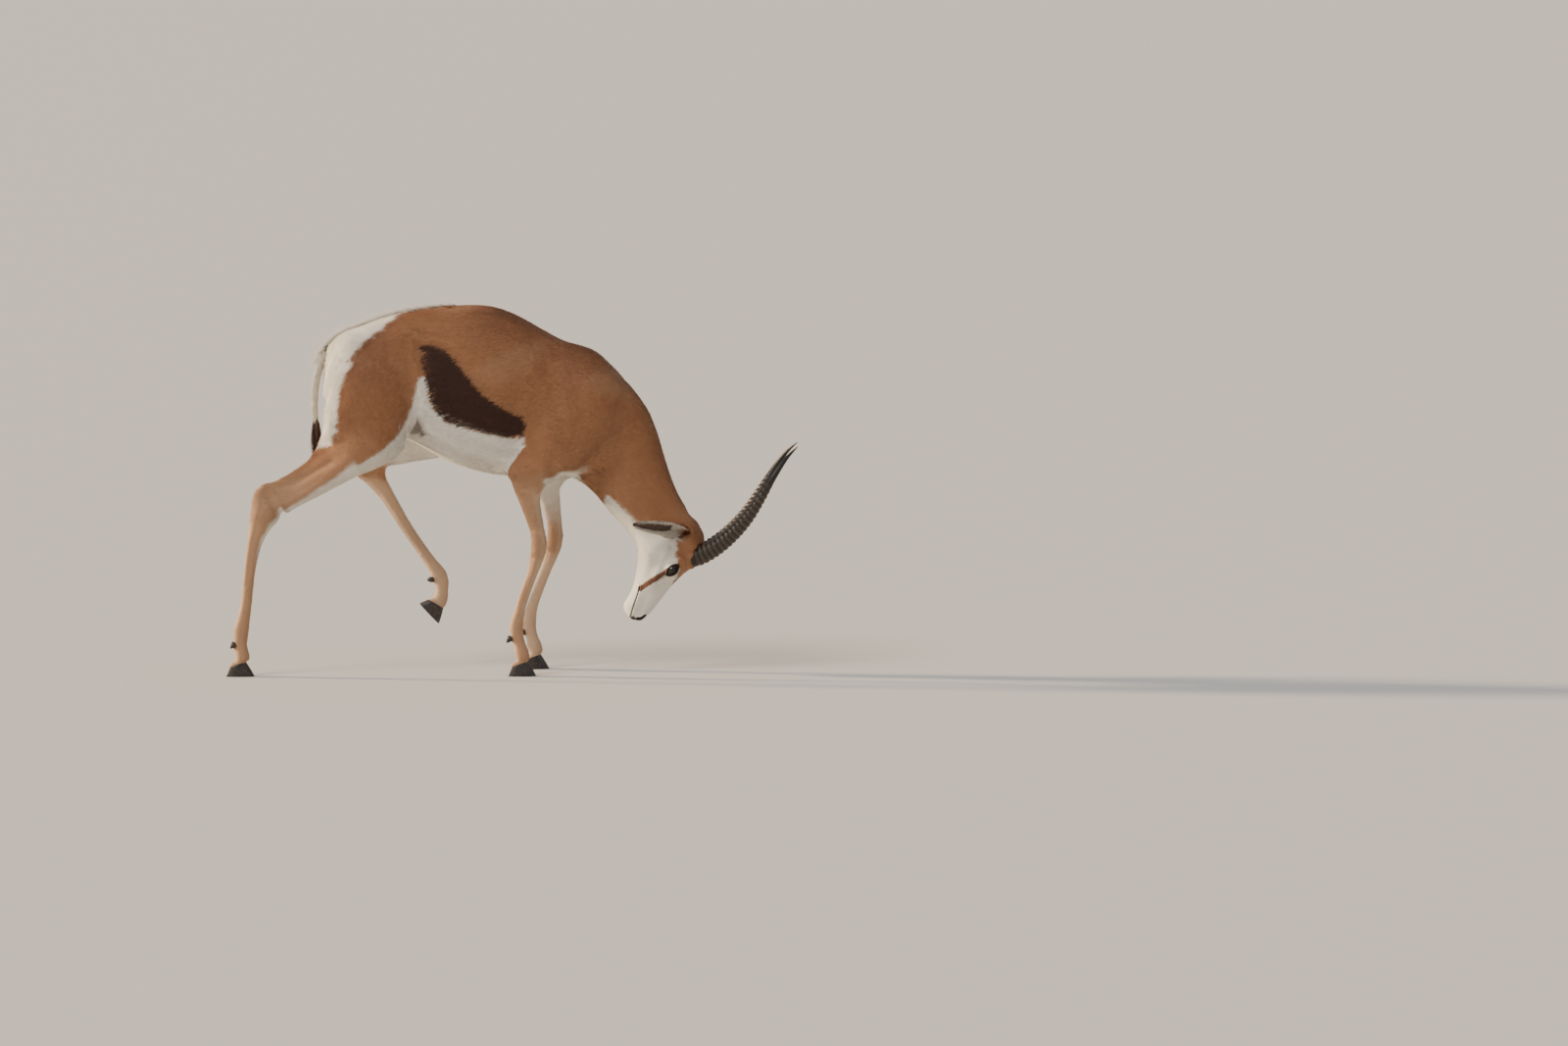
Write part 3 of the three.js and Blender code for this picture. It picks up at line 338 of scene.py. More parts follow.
def in_foot(limb, place, sizes):
    x, y, z, pitch = FEET[limb]
    stands = Matrix.Translation(Vector(metres((x, y, z)))) @ Matrix.Rotation(math.radians(pitch), 4, "Y")
    sized = Matrix.Diagonal([size / 1000 for size in sizes] + [1])
    return stands @ Matrix.Translation(Vector(place) / 1000) @ sized


rough = bmesh.new()
for limb in FEET:
    for place, sizes in HEEL:
        bmesh.ops.create_icosphere(rough, subdivisions=3, radius=1.0, matrix=in_foot(limb, place, sizes))
for solid in FLESH + ["eye_right", "eye_left"]:
    rough.from_mesh(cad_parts[solid].data)
bmesh.ops.remove_doubles(rough, verts=rough.verts, dist=1e-6)
for side in (-1, 1):
    seat = Matrix.Translation(Vector(metres((356, side * 19, 248)))) @ Vector(
        (32, side * 7, 12)).to_track_quat("Z", "Y").to_matrix().to_4x4()
    bmesh.ops.create_cone(rough, cap_ends=True, segments=24, radius1=HORN_SEAT_RADIUS,
                          radius2=HORN_SEAT_RADIUS, depth=0.03, matrix=seat)
hide_mesh = bpy.data.meshes.new("hide")
rough.to_mesh(hide_mesh)
rough.free()
hide = new_piece("hide", hide_mesh)
add_modifier(hide, "REMESH", mode="VOXEL", voxel_size=HIDE_GRAIN)
hide_mesh = finished_mesh(hide)


def keep_largest(mesh):
    """Drops every loose shell of the mesh but the largest."""
    ends = edges_of(mesh)
    label = np.arange(len(mesh.vertices))
    while True:
        low = label.copy()
        np.minimum.at(low, ends[:, 0], label[ends[:, 1]])
        np.minimum.at(low, ends[:, 1], label[ends[:, 0]])
        low = low[low]
        if (low == label).all():
            break
        label = low
    main = np.bincount(label).argmax()
    shell = bmesh.new()
    shell.from_mesh(mesh)
    shell.verts.ensure_lookup_table()
    bmesh.ops.delete(shell, geom=[shell.verts[i] for i in np.flatnonzero(label != main)], context="VERTS")
    shell.to_mesh(mesh)
    shell.free()


keep_largest(hide_mesh)
points, ends = points_of(hide_mesh), edges_of(hide_mesh)
line_at = nearest_line(points)[0]
give = spread(of_line("even", line_at)[:, None], ends, 0.5, 12)
place_points(hide_mesh, spread(points, ends, give, 60))
# Evening out draws thin limbs in: what they lost is evened out too and given back
for _ in range(2):
    even, facing = points_of(hide_mesh), normals_of(hide_mesh)
    lost = spread(np.sum((points - even) * facing, 1)[:, None], ends, 0.5, 30)
    place_points(hide_mesh, even + facing * lost)
deep = spread(of_line("deep", line_at)[:, None], ends, 0.5, 120)
place_points(hide_mesh, points_of(hide_mesh) - normals_of(hide_mesh) * deep / 1000)

# The broad even flanks need few faces, and the face many
broad = on_lines(line_at, "trunk", "neck", "thigh_right", "thigh_left")
broad = spread(broad[:, None].astype(float), ends, 0.5, 20)[:, 0]
group = hide.vertex_groups.new(name="broad")
for weight in (0.25, 0.5, 0.75, 1.0):
    group.add(np.flatnonzero(np.abs(broad - weight) < 0.126).tolist(), weight, "REPLACE")
add_modifier(hide, "DECIMATE", ratio=HIDE_KEPT, vertex_group="broad", use_symmetry=False)
hide_mesh = finished_mesh(hide)
hide.vertex_groups.clear()


def head_frame(points):
    """How far down the face, how far in front of its middle and how far aside points lie, in millimetres."""
    x = points[:, 0] * 1000 - MIDDLE_X - HEAD_BACK_X
    z = points[:, 2] * 1000 - HEAD_BACK_Z
    return -FACE_COS * x - FACE_SIN * z, FACE_SIN * x - FACE_COS * z, points[:, 1] * 1000


def refine(mesh, chosen, rounds):
    """Splits the chosen faces in four, and rounds off what they were."""
    shell = bmesh.new()
    shell.from_mesh(mesh)
    shell.verts.ensure_lookup_table()
    shell.edges.ensure_lookup_table()
    inside = chosen(points_of(mesh))
    a, b = edges_of(mesh).T
    cut = [shell.edges[i] for i in np.flatnonzero(inside[a] & inside[b])]
    bmesh.ops.subdivide_edges(shell, edges=cut, cuts=1, use_grid_fill=True)
    bmesh.ops.triangulate(shell, faces=[face for face in shell.faces if len(face.verts) > 4])
    shell.to_mesh(mesh)
    shell.free()
    points = points_of(mesh)
    inside = chosen(points).astype(float)[:, None]
    ends = edges_of(mesh)
    place_points(mesh, spread(points, ends, 0.5 * spread(inside, ends, 0.5, 2), rounds))


EYE = (118, 30, 36.5)
EYE_RADIUS = 16.5
EYE_CENTRES = {side: metres(on_head(EYE[0], EYE[1], side * EYE[2])) for side in (-1, 1)}
MOUTH = [(262, -4.8), (250, -6.4), (236, -9.6), (221, -11.6), (205, -13.4), (194, -15.6), (184, -17.6)]
NOSTRIL = [(237, 19.5), (243, 16.5), (248, 12.5), (249.5, 7.5)]


def off_eyes(points):
    """Distance of points from the middle of the nearer eye."""
    return np.minimum(*(np.linalg.norm(points - centre, axis=1) for centre in EYE_CENTRES.values()))


def off_line(line, x, y):
    """Distance of flat points from a line of flat points."""
    best = np.full(len(x), 1e9)
    for (ax, ay), (bx, by) in zip(line[:-1], line[1:]):
        dx, dy = bx - ax, by - ay
        share = np.clip(((x - ax) * dx + (y - ay) * dy) / (dx * dx + dy * dy), 0, 1)
        best = np.minimum(best, np.hypot(x - ax - share * dx, y - ay - share * dy))
    return best


def off_nostril(along, above, aside):
    """Distance from the slot of a nostril, which rises from beside the middle outwards."""
    middle = 4 * smoothstep(7.5, 4, np.abs(aside))
    return off_line(NOSTRIL, along, above - 0.5 * np.clip(np.abs(aside) - 11, -6, 5)) + middle


def on_face(points):
    along, above, _ = head_frame(points)
    return (along > 4) & (along < 300) & (np.abs(above) < 90) & (points[:, 0] > 0.24) & (points[:, 2] < 0.36)


def on_features(points):
    along, above, aside = head_frame(points)
    near_eye = np.hypot(along - EYE[0], above - EYE[1]) < 25
    near_mouth = off_line(MOUTH, along, above) < 6
    return on_face(points) & (np.abs(aside) > 3) & (near_eye | near_mouth | (along > 228))


refine(hide_mesh, on_face, 6)
refine(hide_mesh, on_features, 4)

# Ears and tail. Long leaves of gristle under thin skin, cupped outwards, and a thin round tail of bone and
# skin. Each grows out of the hide, whose root round it is evened out.
EAR_LENGTH = 165
EAR_BASE = on_head(34, 26, 38)


def ear_shape(side):
    base = np.array([EAR_BASE[0], side * EAR_BASE[1], EAR_BASE[2]])
    axis = np.array([-0.77, side * 0.61, 0.2])
    axis /= np.linalg.norm(axis)
    opening = np.array([-0.15, side * 0.85, -0.5])
    opening -= axis * (opening @ axis)
    opening /= np.linalg.norm(opening)
    return base, axis, opening, np.cross(axis, opening)


EAR_WIDTH = ([-0.12, 0, 0.12, 0.3, 0.5, 0.7, 0.88, 1], [9, 12, 17, 24, 25.5, 21, 11.5, 1.5])


def ear_place(points, normals, side):
    """How far up the ear points lie, how far across and in front of it, and how much they face that way."""
    base, axis, opening, across = ear_shape(side)
    out = points - metres(base)
    rise = out @ axis * 1000 / EAR_LENGTH
    return rise, out @ across * 1000 / np.interp(rise, *EAR_WIDTH), out @ opening * 1000, normals @ opening


def ear_leaf(side):
    base, axis, opening, across = ear_shape(side)
    root = np.array(on_head(46, 4, side * 20))
    rings = []
    low, high = np.linspace(-0.12, 0.1, 9), np.linspace(0.12, 0.9, 34)
    rises = np.concatenate([low, high, [0.93, 0.96, 0.98, 0.995]])
    for rise in rises:
        width = np.interp(rise, *EAR_WIDTH)
        cup = np.interp(rise, [-0.12, -0.02, 0.12, 0.3, 0.5, 0.7, 0.88, 1], [0, 7, 16, 17, 13, 8, 3.5, 0.5])
        stem = np.interp(rise, [-0.12, 0, 0.1, 0.3], [17, 8, 1.5, 0])
        shares = np.sin(np.linspace(-1, 1, 23) * math.pi / 2)
        hollow = cup * (1 - shares**2)
        wall = 1.1 + (1.8 + stem) * (1 - shares**2) * (1 - 0.6 * max(rise, 0))
        curl = 1.6 * np.sin(shares * 2.4 + rise * 5) * smoothstep(0.1, 0.5, rise)
        middle = base + axis * rise * EAR_LENGTH if rise > 0 else base + (root - base) * rise / -0.12
        inner = middle + np.outer(width * shares, across) - np.outer(hollow - curl, opening)
        outer = middle + np.outer(width * shares, across) - np.outer(hollow - curl + wall, opening)
        rings.append(np.concatenate([inner, outer[::-1]]))
    start = root - opening * 8 + (root - base) * 0.2
    tip = base + axis * EAR_LENGTH
    return leaf([metres(ring) for ring in rings], [metres(start), metres(tip)])


def tube(path, radii, sides):
    """A closed round tube along points, in millimetres."""
    path = np.asarray(path, float)
    ways = np.gradient(path, axis=0)
    ways /= np.linalg.norm(ways, axis=1)[:, None]
    angles = np.linspace(0, 2 * math.pi, sides, endpoint=False)
    rings = []
    for place, way, radius in zip(path, ways, radii):
        across = np.cross(way, (0.0, 1.0, 0.0))
        across /= np.linalg.norm(across)
        upward = np.cross(across, way)
        rings.append(metres(place + radius * (
            np.outer(np.cos(angles), across) + np.outer(np.sin(angles), upward))))
    start = path[0] - ways[0] * radii[0] * 0.5
    end = path[-1] + ways[-1] * radii[-1] * 0.7
    return leaf(rings, [metres(start), metres(end)])


def bent(line, count):
    """So many points along a smooth bend through the given ones."""
    line = np.asarray(line, float)
    knots = np.concatenate([[0], np.cumsum(np.linalg.norm(np.diff(line, axis=0), axis=1))])
    slopes = np.gradient(line, knots, axis=0)
    at = np.linspace(0, knots[-1], count)
    cell = np.clip(np.searchsorted(knots, at) - 1, 0, len(line) - 2)
    span = (knots[cell + 1] - knots[cell])[:, None]
    t = (at - knots[cell])[:, None] / span
    return ((2 * t**3 - 3 * t**2 + 1) * line[cell] + (t**3 - 2 * t**2 + t) * span * slopes[cell]
            + (3 * t**2 - 2 * t**3) * line[cell + 1] + (t**3 - t**2) * span * slopes[cell + 1])


TAIL_PATH = bent([(-396, 0, 716), (-420, 0, 712), (-438, 0, 694), (-450, 0, 660), (-457, 0, 600),
                  (-455, 0, 545), (-449, 0, 500), (-447, 0, 480)], 60)
TAIL_RADII = np.interp(np.linspace(0, 1, 60), [0, 0.12, 0.4, 0.8, 1], [10, 9.5, 6.5, 4.6, 3.4])
GROWN = {"ear_r": ear_leaf(-1), "ear_l": ear_leaf(1), "tail_root": tube(TAIL_PATH, TAIL_RADII, 16)}
for name, grown in GROWN.items():
    part = new_piece(name, grown)
    add_modifier(hide, "BOOLEAN", operation="UNION", solver="MANIFOLD", object=part)
    hide_mesh = finished_mesh(hide)
    bpy.data.objects.remove(part)
keep_largest(hide_mesh)

# Rounded off: the roots of tail and ears, the fold before the left thigh and the tops of the shoulder blades
points, ends = points_of(hide_mesh), edges_of(hide_mesh)
joints = np.exp(-((np.linalg.norm(points * (1, 0, 1) - metres((-412, 0, 712)), axis=1) / 0.02) ** 2))
for side in (-1, 1):
    base = metres((EAR_BASE[0] - 6, side * (EAR_BASE[1] + 5), EAR_BASE[2]))
    joints = np.maximum(joints, 0.8 * np.exp(-((np.linalg.norm(points - base, axis=1) / 0.014) ** 4)))
fold = np.linalg.norm((points - metres((-137, 0, 488))) * (1, 0, 1), axis=1) / 0.022
joints = np.maximum(joints, np.exp(-(fold**4)) * (points[:, 1] > 0.03))
blades = np.linalg.norm((points - metres((158, 0, 704))) * (1, 0, 1), axis=1) / 0.038
joints = np.maximum(joints, np.exp(-(blades**4)))
place_points(hide_mesh, spread(points, ends, joints[:, None] * 0.6, 14))
points = points_of(hide_mesh)
along, above, _ = head_frame(points)
jaw = smoothstep(-15, -24, above) * smoothstep(-150, -110, above) * smoothstep(-10, 20, along)
jaw *= smoothstep(242, 226, along) * (points[:, 0] > 0.2) * (points[:, 2] < 0.42)
place_points(hide_mesh, spread(points, ends, jaw[:, None] * 0.6, 70))

# Under the hide lie the bones, tendons and muscles that show: each is a soft hollow or ridge along a line.
# Those of the body have X and Z, as seen from the side, those of the head how far down the face and in front
# of its middle. The last two numbers are the width and the depth, which is less than nothing for a ridge.
BODY_FORMS = [
    ([(-228, 752), (-236, 700), (-232, 640), (-216, 600)], 11, 1.8),
    ([(-300, 745), (-338, 690), (-352, 610), (-350, 545)], 13, 1.5),
    ([(-384, 700), (-398, 640), (-404, 570), (-396, 520)], 10, 1.0),
    ([(100, 720), (56, 708), (26, 676), (12, 630), (8, 575), (2, 522)], 20, 3.0),
    ([(60, 720), (92, 640), (104, 575)], 16, 1.2),
    ([(132, 640), (150, 570), (128, 505)], 14, 1.4),
    ([(40, 700), (66, 620), (72, 560)], 14, -1.4),
    ([(-252, 752), (-268, 742)], 16, -2.2),
    ([(92, 520), (118, 505)], 15, -1.8),
    ([(180, 470), (236, 396), (276, 336)], 12, 1.6),
]
LIMB_FORMS = [
    ([(-420, -86, 470), (-470, -85, 440), (-532, -84, 412)], 7, 2.2),
    ([(-440, -86, 434), (-490, -84, 404), (-540, -84, 378)], 6, 1.0),
    ([(-562, -83, 388), (-578, -84, 340), (-592, -85, 290), (-604, -88, 200)], 5, 1.3),
    ([(-330, 117, 500), (-368, 121, 474), (-392, 122, 458)], 7, 2.0),
    ([(-372, 121, 436), (-326, 121, 390), (-282, 121, 322), (-236, 121, 254)], 5, 1.3),
    ([(4, -79, 410), (14, -80, 366), (22, -81, 322)], 6, 1.1),
    ([(44, 79, 410), (52, 80, 366), (58, 81, 322)], 6, 1.1),
    ([(22, -81, 262), (10, -83, 210), (-6, -84, 160)], 4.5, 1.2),
    ([(52, 82, 262), (40, 84, 210), (24, 85, 160)], 4.5, 1.2),
]
HEAD_FORMS = [
    ([(137, 26), (148, 19), (160, 13)], 3.2, 2.4),
    ([(112, 43), (98, 43), (86, 38)], 7, -1.8),
    ([(150, 6), (120, 2), (80, 0)], 6, -1.6),
    ([(150, -8), (124, -14), (96, -14)], 9, 1.5),
    ([(86, -22), (64, -16), (50, -6)], 15, -2.0),
    ([(186, 4), (210, 6), (230, 9)], 7, 0.9),
    ([(240, -1), (222, -4), (204, -6)], 5, -0.9),
    ([(196, -24), (150, -34), (100, -44)], 8, 0.9),
]
# Outline of the hollow in the flank before the right thigh: pressed in, and darkened with painted shade
FLANK_HOLLOW = [(-229, 566), (-244, 533), (-227, 523), (-209, 526)]


def off_outline(outline, x, y):
    """Distance of flat points from a closed outline, less than nothing inside it."""
    inside = np.zeros(len(x), bool)
    for (ax, ay), (bx, by) in zip(outline, outline[1:] + outline[:1]):
        crosses = (ay > y) != (by > y)
        if ay != by:
            inside ^= crosses & (x < ax + (y - ay) * (bx - ax) / (by - ay))
    gap = off_line(outline + outline[:1], x, y)
    return np.where(inside, -gap, gap)


points, normals = points_of(hide_mesh), normals_of(hide_mesh)
x, z = points[:, 0] * 1000 - MIDDLE_X, points[:, 2] * 1000
y = points[:, 1] * 1000
line_at = nearest_line(points)[0]
trunk_like = on_lines(line_at, "trunk", "neck", "thigh_right", "thigh_left", "forearm_right", "forearm_left")
headed = on_lines(line_at, "head")
eared = on_lines(line_at, "ear_right", "ear_left")
press = np.zeros(len(points))
sideways = smoothstep(0.25, 0.6, np.abs(normals[:, 1]))
for line, width, depth in BODY_FORMS:
    press += depth * np.exp(-((off_line(line, x, z) / width) ** 2)) * sideways * trunk_like
press += 5.5 * smoothstep(6, -6, off_outline(FLANK_HOLLOW, x, z)) * trunk_like * (y < 0)
for line, width, depth in LIMB_FORMS:
    path = np.array(line, float)
    gap = off_line([(p[0], p[2]) for p in path], x, z)
    same_side = (np.sign(y) == np.sign(path[0, 1])) & ~headed & ~eared
    press += depth * np.exp(-((gap / width) ** 2)) * same_side * sideways
along, above, aside = head_frame(points)
near_head = spread(headed[:, None].astype(float), edges_of(hide_mesh), 0.5, 60)[:, 0]
for line, width, depth in HEAD_FORMS:
    press += depth * np.exp(-((off_line(line, along, above) / width) ** 2)) * sideways * near_head
mouth = off_line(MOUTH, along, above)
press += headed * (2.4 * np.exp(-((mouth / 1.0) ** 2)) - 0.7 * np.exp(-(((mouth - 3.4) / 1.8) ** 2)))
nostril = off_nostril(along, above, aside)
press += headed * (5.5 * np.exp(-((nostril / 2.0) ** 2)) - 0.9 * np.exp(-(((nostril - 4.4) / 1.6) ** 2)))
press += headed * (along > 246) * 1.4 * np.exp(-((aside / 1.3) ** 2)) * smoothstep(-6, 2, above) * 0.7
for side in (-1, 1):
    seat = metres((358, side * 19.5, 249))
    out = np.array([32, side * 7, 12]) / math.sqrt(32**2 + 7**2 + 12**2)
    beyond = (points - seat) @ out
    reach = np.linalg.norm(points - seat - np.outer(beyond, out), axis=1) * 1000
    press -= headed * 1.6 * np.exp(-(((reach - 23.5) / 2.6) ** 2)) * smoothstep(-0.04, -0.025, beyond)
points -= normals * (press / 1000)[:, None]

# Lids. Two folds of dark naked skin round each eye: the hide sinks behind the ball inside their almond, and
# stands up round it as a rim with a shallow furrow beyond.
LID_OPENING = 7.9
LID_WIDTH = 15.0


def lid_gap_at(along, above):
    """How far points lie outside the almond between the lids, less than nothing inside, and where by it."""
    across = (along - EYE[0]) * 0.94 - (above - EYE[1]) * 0.34
    upward = (along - EYE[0]) * 0.34 + (above - EYE[1]) * 0.94
    half_open = LID_OPENING * np.clip(1 - (across / LID_WIDTH) ** 2, -1, 1)
    return (np.abs(upward) - half_open) / np.hypot(1, 2 * LID_OPENING * across / LID_WIDTH**2), across, upward


lid_gap, across_eye, up_eye = lid_gap_at(along, above)
by_eye = headed & (np.hypot(across_eye, up_eye) < 30) & (np.abs(aside) > 10)
for side in (-1, 1):
    mine = by_eye & (np.sign(aside) == side)
    out = points[mine] - EYE_CENTRES[side]
    reach = np.linalg.norm(out, axis=1) * 1000
    gap = lid_gap[mine]
    within = smoothstep(0.9, -0.5, gap)
    lid = np.log(np.exp(reach - EYE_RADIUS) + math.exp(2.0)) + EYE_RADIUS
    rim = 1.0 * np.exp(-(((gap - 1.5) / 1.1) ** 2)) - 1.4 * np.exp(-(((gap - 5.2) / 1.5) ** 2))
    goal = (1 - within) * (lid + rim) + within * (EYE_RADIUS - 3.0)
    points[mine] = EYE_CENTRES[side] + out * (goal / reach)[:, None]
place_points(hide_mesh, points)


# Markings. Cinnamon back and shoulders, a dark band along the flank over a white belly, white rump, inner
# legs and face, with a brown stripe from the eye to the corner of the mouth. Hide and coat share them.
# Painted shade is laid with them: on the upward-facing back, in the flank hollow and, in part, in the ear
# cups.
CINNAMON = (0.285, 0.124, 0.056)
# One dark brown serves both the painted shade of the back and the brown line round the white rump
BACK_SHADE_AND_RUMP_LINE = (0.175, 0.070, 0.033)
FAWN = (0.41, 0.235, 0.132)
PALE_FAWN = (0.55, 0.40, 0.27)
BAND = (0.036, 0.0135, 0.008)
WHITE = (0.74, 0.69, 0.60)
FACE_BROWN = (0.13, 0.054, 0.027)
NAKED = (0.020, 0.015, 0.014)
EAR_SKIN_AND_SHADE = (0.085, 0.058, 0.046)
# Their edges on the body, seen from the side, and on the face, down it and in front of its middle
BAND_EDGE = [(-219, 724), (-190, 724), (-163, 714), (-129, 675), (-84, 620), (-39, 588), (2, 570), (12, 552),
             (6, 529), (-30, 526), (-70, 533), (-103, 541), (-140, 550), (-163, 558), (-184, 578),
             (-197, 606), (-206, 640), (-214, 680)]
BELLY_TOP = [(-250, 560), (-232, 600), (-213, 640), (-203, 610), (-190, 586), (-163, 557), (-103, 540),
             (-30, 525), (6, 524), (4, 500), (-4, 470), (10, 446), (60, 436), (118, 447), (130, 420),
             (130, 300), (-420, 300), (-420, 480), (-300, 478), (-262, 520)]
RUMP_EDGE = [(-228, 830), (-250, 802), (-290, 772), (-333, 734), (-362, 700), (-382, 668), (-395, 635),
             (-399, 600), (-404, 552), (-416, 505), (-600, 505), (-600, 830)]
THIGH_WHITE = [(-213, 640), (-222, 602), (-236, 562), (-258, 522), (-292, 490), (-338, 460), (-374, 444)]
FACE_WHITE = [(150, 64), (140, 46), (112, 41), (96, 28), (74, 17), (56, 6), (51, -16), (58, -40), (62, -64),
              (58, -90), (48, -122), (38, -156), (32, -190), (20, -230), (420, -230), (420, 64)]
EYE_STRIPE = [(122, 22), (140, 12), (160, 0), (178, -9), (188, -14)]
CROWN_WIDTH = ([0, 60, 105, 140, 160], [60, 34, 24, 15, 0])
GASKIN_LENGTH = {"right": 0.272, "left": 0.172}
DEWCLAW_ASIDE = 8.5


def line_length(line):
    """The whole length of one of the lines through the body, in metres."""
    return np.linalg.norm(np.diff(metres(line["points"]), axis=0), axis=1).sum()


def ripple(points, length):
    """A slow even wavering between -1 and 1, of about the given wavelength in metres."""
    p = points * (2 * math.pi / length)
    return (np.sin(p[:, 0] * 1.0 + 1.7 * np.sin(p[:, 2] * 0.8)) + np.sin(p[:, 1] * 1.1 + p[:, 2] * 0.9)
            + np.sin(p[:, 2] * 1.3 - p[:, 0] * 0.7 + 2)) / 3


def marked(points, normals):
    """The colour of the coat at each point of the hide."""
    x, y, z = points[:, 0] * 1000 - MIDDLE_X, points[:, 1] * 1000, points[:, 2] * 1000
    line_at, line_along, _, way = nearest_line(points)
    names = np.array(LINE_NAMES)[line_at]
    wander = 2.2 * ripple(points, 0.031) + 1.4 * ripple(points + 0.3, 0.011)
    outer = normals[:, 1] * np.sign(y)
    ahead = normals[:, 2] * way[:, 0] - normals[:, 0] * way[:, 2]
    colour = np.tile(CINNAMON, (len(points), 1))

    def lay(paint, mask):
        colour[:] = colour * (1 - mask[:, None]) + np.array(paint) * mask[:, None]

    def on(*words):
        return np.logical_or.reduce([np.char.startswith(names, word) for word in words])

    on_trunk = on("trunk", "neck", "thigh")
    # Painted shade: hide facing upwards on the trunk, neck and thighs is darkened, as a back lying in shade
    lay(BACK_SHADE_AND_RUMP_LINE, 0.85 * smoothstep(0.2, 0.9, normals[:, 2]) * on_trunk)
    lay(FAWN, 0.30 * smoothstep(0.30, -0.5, normals[:, 2]))
    lay(FAWN, 0.30 * smoothstep(0.1, 0.8, ripple(points, 0.23)))
    # Legs: fawn, paler in front and behind, and white within at the top
    limb = on("gaskin", "cannon", "forearm", "shin", "pastern")
    fawn_below = smoothstep(484, 390, z + wander)
    below_joint = smoothstep(0, -60, z - np.where(on("cannon"), np.where(y < 0, 372, 448), 284))
    ahead_out = ahead + wander * 0.03
    inner = smoothstep(0.05, -0.4, outer + wander * 0.03)
    lay(FAWN, 0.85 * fawn_below * limb)
    pale_fore = 0.7 * smoothstep(0.0, 0.7, ahead_out) * fawn_below * smoothstep(100, 160, z)
    lay(PALE_FAWN, pale_fore * on("forearm", "shin"))
    lay(PALE_FAWN, 0.5 * smoothstep(0.25, 0.8, -ahead_out) * below_joint * on("cannon", "shin", "pastern"))
    lay(PALE_FAWN, 0.5 * inner * below_joint * on("cannon", "shin", "pastern"))
    high_up = smoothstep(300, 430, z + wander * 4)
    lay(WHITE, 0.9 * high_up * inner * on("forearm"))
    gaskin_length = np.where(y < 0, GASKIN_LENGTH["right"], GASKIN_LENGTH["left"])
    down = np.where(on("gaskin"), line_along / gaskin_length, 1.0)
    lay(WHITE, smoothstep(0.7, 0.45, down + wander * 0.02) * smoothstep(0.5, 0.2, outer) * on("gaskin"))
    rearward = smoothstep(0.3, 0.65, -0.9 * normals[:, 0] - 0.43 * normals[:, 2])
    rearward = np.maximum(rearward, smoothstep(-0.1, -0.4, normals[:, 0]) * smoothstep(540, 520, z))
    lay(WHITE, rearward * smoothstep(0.5, 0.3, outer) * on("thigh") * (z < 620))
    pale_front = smoothstep(-0.12 + 0.5 * down, 0.25 + 0.45 * down, ahead_out) * smoothstep(-0.6, -0.2, outer)
    lay(WHITE, 0.9 * smoothstep(225, 330, z) * pale_front * on("gaskin", "cannon"))
    lay(WHITE, smoothstep(0.55, 0.8, ahead) * (names == "thigh_left") * (z < 620))
    hidden = off_line(THIGH_WHITE, x, z) + wander * 0.5
    lay(WHITE, smoothstep(18, 12, hidden) * on("trunk", "thigh_right", "gaskin_right") * (y < 0))
    # Belly, band, painted shade in the flank hollow, rump, throat
    belly = smoothstep(2.5, -2.5, off_outline(BELLY_TOP, x, z) + wander)
    lay(WHITE, belly * high_up * smoothstep(0.75, 0.35, outer * (x < -225))
        * np.where(on("forearm"), smoothstep(0.0, -0.3, outer), on_trunk))
    underneath = smoothstep(-0.55, -0.8, normals[:, 2] + wander * 0.02) * on("trunk", "neck")
    lay(WHITE, underneath * smoothstep(150, 110, x) * (z < 560))
    lay(WHITE, smoothstep(-0.1, -0.35, outer + wander * 0.02) * on("thigh") * (z < 600))
    # Painted shade: the flank hollow is darkened with the band's colour, as a hollow lying in shade
    hollow = smoothstep(4, -3, off_outline(FLANK_HOLLOW, x, z) + wander * 0.4)
    lay(WHITE, smoothstep(22, 16, off_outline(FLANK_HOLLOW, x, z)) * on("trunk") * (y < 0) * (x > -250))
    lay(BAND, 0.7 * hollow * on("trunk", "thigh_right", "gaskin_right") * (y < 0))
    band = smoothstep(2.2, -2.2, off_outline(BAND_EDGE, x, z) + wander)
    lay(BAND, band * (names == "trunk") * smoothstep(0.0, 0.25, outer))
    rump_gap = off_outline(RUMP_EDGE, x, z) + wander + 0.2 * np.maximum(0, np.abs(y) - 24) * (z > 690)
    lay(BACK_SHADE_AND_RUMP_LINE, 0.8 * np.exp(-(((rump_gap - 7) / 6) ** 2)) * on_trunk * (z > 560))
    lay(WHITE, smoothstep(4, -4, rump_gap) * on_trunk)
    between = smoothstep(58, 46, np.abs(y) + wander * 2) * smoothstep(-300, -350, x)
    lay(WHITE, between * smoothstep(0.15, -0.3, normals[:, 0]) * on_trunk * (z < 740) * (z > 470))
    ridge_line = smoothstep(9, 5, np.abs(y) + wander) * smoothstep(-170, -230, x)
    lay(WHITE, ridge_line * (normals[:, 2] > 0.2) * (names == "trunk"))
    facing = -0.829 * normals[:, 0] - 0.559 * normals[:, 2] + wander * 0.03
    throat = smoothstep(0.45, 0.75, facing - 0.6 * smoothstep(290, 165, x))
    lay(WHITE, throat * on("neck", "trunk") * (x > 140))
